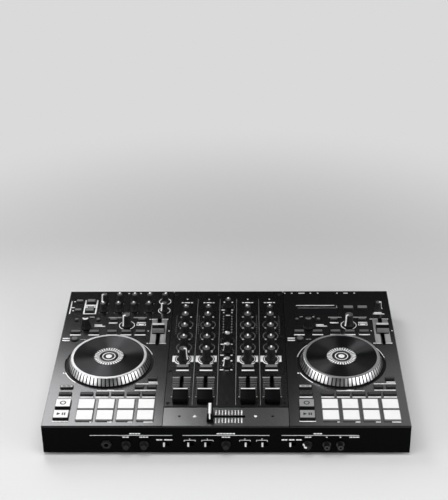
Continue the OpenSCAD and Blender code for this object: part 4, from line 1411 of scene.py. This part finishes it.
def channel_marks(channel):
    """Marks of one channel strip."""
    for row in ("low", "mid", "high"):
        at = centre_of(f"{row}_knob_{channel}")
        arc(mixer_print, at, 11.4, 0.9, 100, FAINT)
        bar_pair(mixer_print, at, *KNOB_END)
    at = centre_of(f"filter_knob_{channel}")
    bar_pair(mixer_print, at, *FILTER_END)
    bars(mixer_print, at, FILTER_PLATE)
    at = middle(trims[channel - 1])
    bar_pair(mixer_print, at, *KNOB_END)
    bars(mixer_print, at, TRIM_BARS)
    dot(mixer_print, at.x, at.y + 42.6, 1.3)
    meter_x = at.x + (-14.5 if at.x < 0 else 14)
    for lamp in range(METER_LAMPS):
        dot(mixer_print, meter_x, METER_FRONT + lamp * METER_STEP, 0.7, PALE)
    fader_scale(centre_of(f"channel_fader_{channel}"))
    bars(mixer_print, middle(channel_keys[channel - 1]), CUE_BARS)


separator_front = mixer_front + 5
separator_length = SEPARATOR_REAR - separator_front
for x in SEPARATORS:
    bar(mixer_print, x, separator_front + separator_length / 2, 0.6, separator_length, PALE)
for channel in CHANNELS:
    channel_marks(channel)
print("marks on the channel strips", len(mixer_print.faces))

# %% [markdown]
# The strip in the middle has four knobs with a scale of dots round each, and two columns of meter
# lamps between them.

# %% Print on the centre strip
DIAL_R = 10
DIAL_STEPS = 9
DIAL_FROM_DEG, DIAL_STEP_DEG = 225, 27
DIAL_BARS = ((-8, -9.6, 5.4, 2.2), (6.6, -9.6, 3.0, 2.2))
METER_COLUMNS = (-7, 6)
CENTRE_LAMPS = 7
CENTRE_FRONT, CENTRE_STEP = 56, 7.5
for name in ("level", "mix", "booth", "main"):
    at = centre_of(name + "_knob")
    for step in range(1, DIAL_STEPS + 1):
        turn = math.radians(DIAL_FROM_DEG - DIAL_STEP_DEG * step)
        x, y = at.x + DIAL_R * math.cos(turn), at.y + DIAL_R * math.sin(turn)
        dot(mixer_print, x, y, 0.6, PALE)
    bars(mixer_print, at, DIAL_BARS)
    if name in ("level", "main"):
        bar_pair(mixer_print, at, 6.4, 13.3, 2.4, 2.4)
level = centre_of("level_knob")
label(mixer_print, level.x, level.y - 11.4, 6, 1.8, PALE)
for x in METER_COLUMNS:
    bar(mixer_print, x, 111.8, 2.0, 2.6)
    for lamp in range(CENTRE_LAMPS):
        bar(mixer_print, x, CENTRE_FRONT + lamp * CENTRE_STEP, 1.9, 2.8, PALE)
bar(mixer_print, 0, 104, 6.8, 1.8)
bar(mixer_print, 0, mixer_front + 1.4, 2 * mixer_half - 1, 2.4, DARK_INK)
hand_in_print(mixer_print, "mixer_print", on_panel)

# %% [markdown]
# Round each filter knob the white plate has a dark ring with a fine white one in it, so that only its
# two ends show. They could be cut out of the plate, but a dark disc and a ring printed over it do the
# same, just as ink would.

# %% Dark rings over the filter plates
FRONT_ARCS = ((214, 33), (293, 24))
ring_print = bmesh.new()
fine_print = bmesh.new()
for channel in CHANNELS:
    at = centre_of(f"filter_knob_{channel}")
    dot(ring_print, at.x, at.y, 12.6, DARK_INK)
    arc(fine_print, at, 10.5, 0.9, 70, WHITE)
    for start, sweep in FRONT_ARCS:
        ring_mark(fine_print, at, 13.7, 2.0, WHITE, start, sweep)
hand_in_print(ring_print, "filter_disc_print", (0, 0, top_z + 2 * INK_TOP))
hand_in_print(fine_print, "filter_ring_print", (0, 0, top_z + 3 * INK_TOP))

# %% [markdown]
# The crossfader has a scale on both sides of its slot, with wider ticks in the middle and at the ends.
# At the front left the cap stands close to the ticks, and they are shorter there.

# %% Print on the crossfader panel
cross_print = bmesh.new()
cross_y = centre_of("crossfader").y
CROSS_TICKS = 5
CROSS_STEP = 4.53
CROSS_SHIFT = -0.6
BACK_TICK = (9.5, 11.2)
FRONT_TICK = (-8.6, 11.2)
SHORT_TICK = (-6.8, 7.4)
for tick in range(-CROSS_TICKS, CROSS_TICKS + 1):
    width = 1.8 if tick % CROSS_TICKS == 0 else 1.25
    for along, depth in (BACK_TICK, SHORT_TICK if tick < -3 else FRONT_TICK):
        bar(cross_print, tick * CROSS_STEP + CROSS_SHIFT, cross_y + along, width, depth)
wedge(cross_print, -43.7, cross_y + 0.6, 3.7, turn_deg=90)
dot(cross_print, 41.5, cross_y + 0.8, 2.2)
for hand in HANDS:
    dot(cross_print, hand * 65.6, cross_y + 0.8, 2.0, DARK_INK)
hand_in_print(cross_print, "crossfader_print", on_panel)

# %% [markdown]
# On the front face long lines join the controls that belong together, with small labels over and under
# them and a bracket over each of the four middle switches. The sheet is drawn flat like the others,
# with heights counted from the top of the panel, and then raised to stand on the face.

# %% Print on the front face
front_print = bmesh.new()
LINE_W = 0.7
LONG_LINES = ((-190.5, -75), (-60.5, 60.6), (77.6, 185.6))
LABELS_OVER = ((-135, -119.5), (-13, 13), (122, 134))
LABELS_UNDER = ((-145, -135.5), (-121, -108.5), (-6, 6), (110, 119.6), (172, 186))
SWITCH_LABELS = ((-97.5, -89), (-86.5, -75), (77.6, 86), (88, 96), (98, 106))
BRACKETS = ((-58.5, -43), (-34, -18), (19, 34), (42.6, 58))
SOCKET_DASHES = (140.6, 159.6)


def spans(draw, pairs, y, depth):
    """Draws a bar or a label from end to end of each pair."""
    for x0, x1 in pairs:
        draw(front_print, (x0 + x1) / 2, y, x1 - x0, depth)


spans(bar, LONG_LINES, -16.5, LINE_W)
spans(label, LABELS_OVER, -13.6, 2.0)
spans(label, LABELS_UNDER, -19.6, 1.8)
spans(label, SWITCH_LABELS, -24.4, 2.0)
spans(bar, BRACKETS, -25.0, LINE_W)
for ends in BRACKETS:
    bar(front_print, sum(ends) / 2, -23.2, LINE_W, 3.0)
    for x in ends:
        bar(front_print, x, -26.2, LINE_W, 2.4)
for x in SOCKET_DASHES:
    bar(front_print, x, -19.6, 2.2, 1.8)
hand_in_print(front_print, "front_print", (0, front_y - INK_TOP, top_z), lean=face_on)

# %% [markdown]
# The display is nearly black and shows a few plain lines. They lie on its glass like print.

# %% Display lines
_, high, at, size = measured("display_window")
line_length = size.x - 7
screen = bmesh.new()
bar(screen, at.x - 2, high.y - 1.0, line_length, 1.6)
bar(screen, at.x, high.y - 8.4, line_length, 1.4, FAINT)
bar(screen, high.x - 2, high.y - 4.7, 1.4, 8, PALE)
hand_in_print(screen, "display_lines", (0, 0, high.z + INK_TOP))
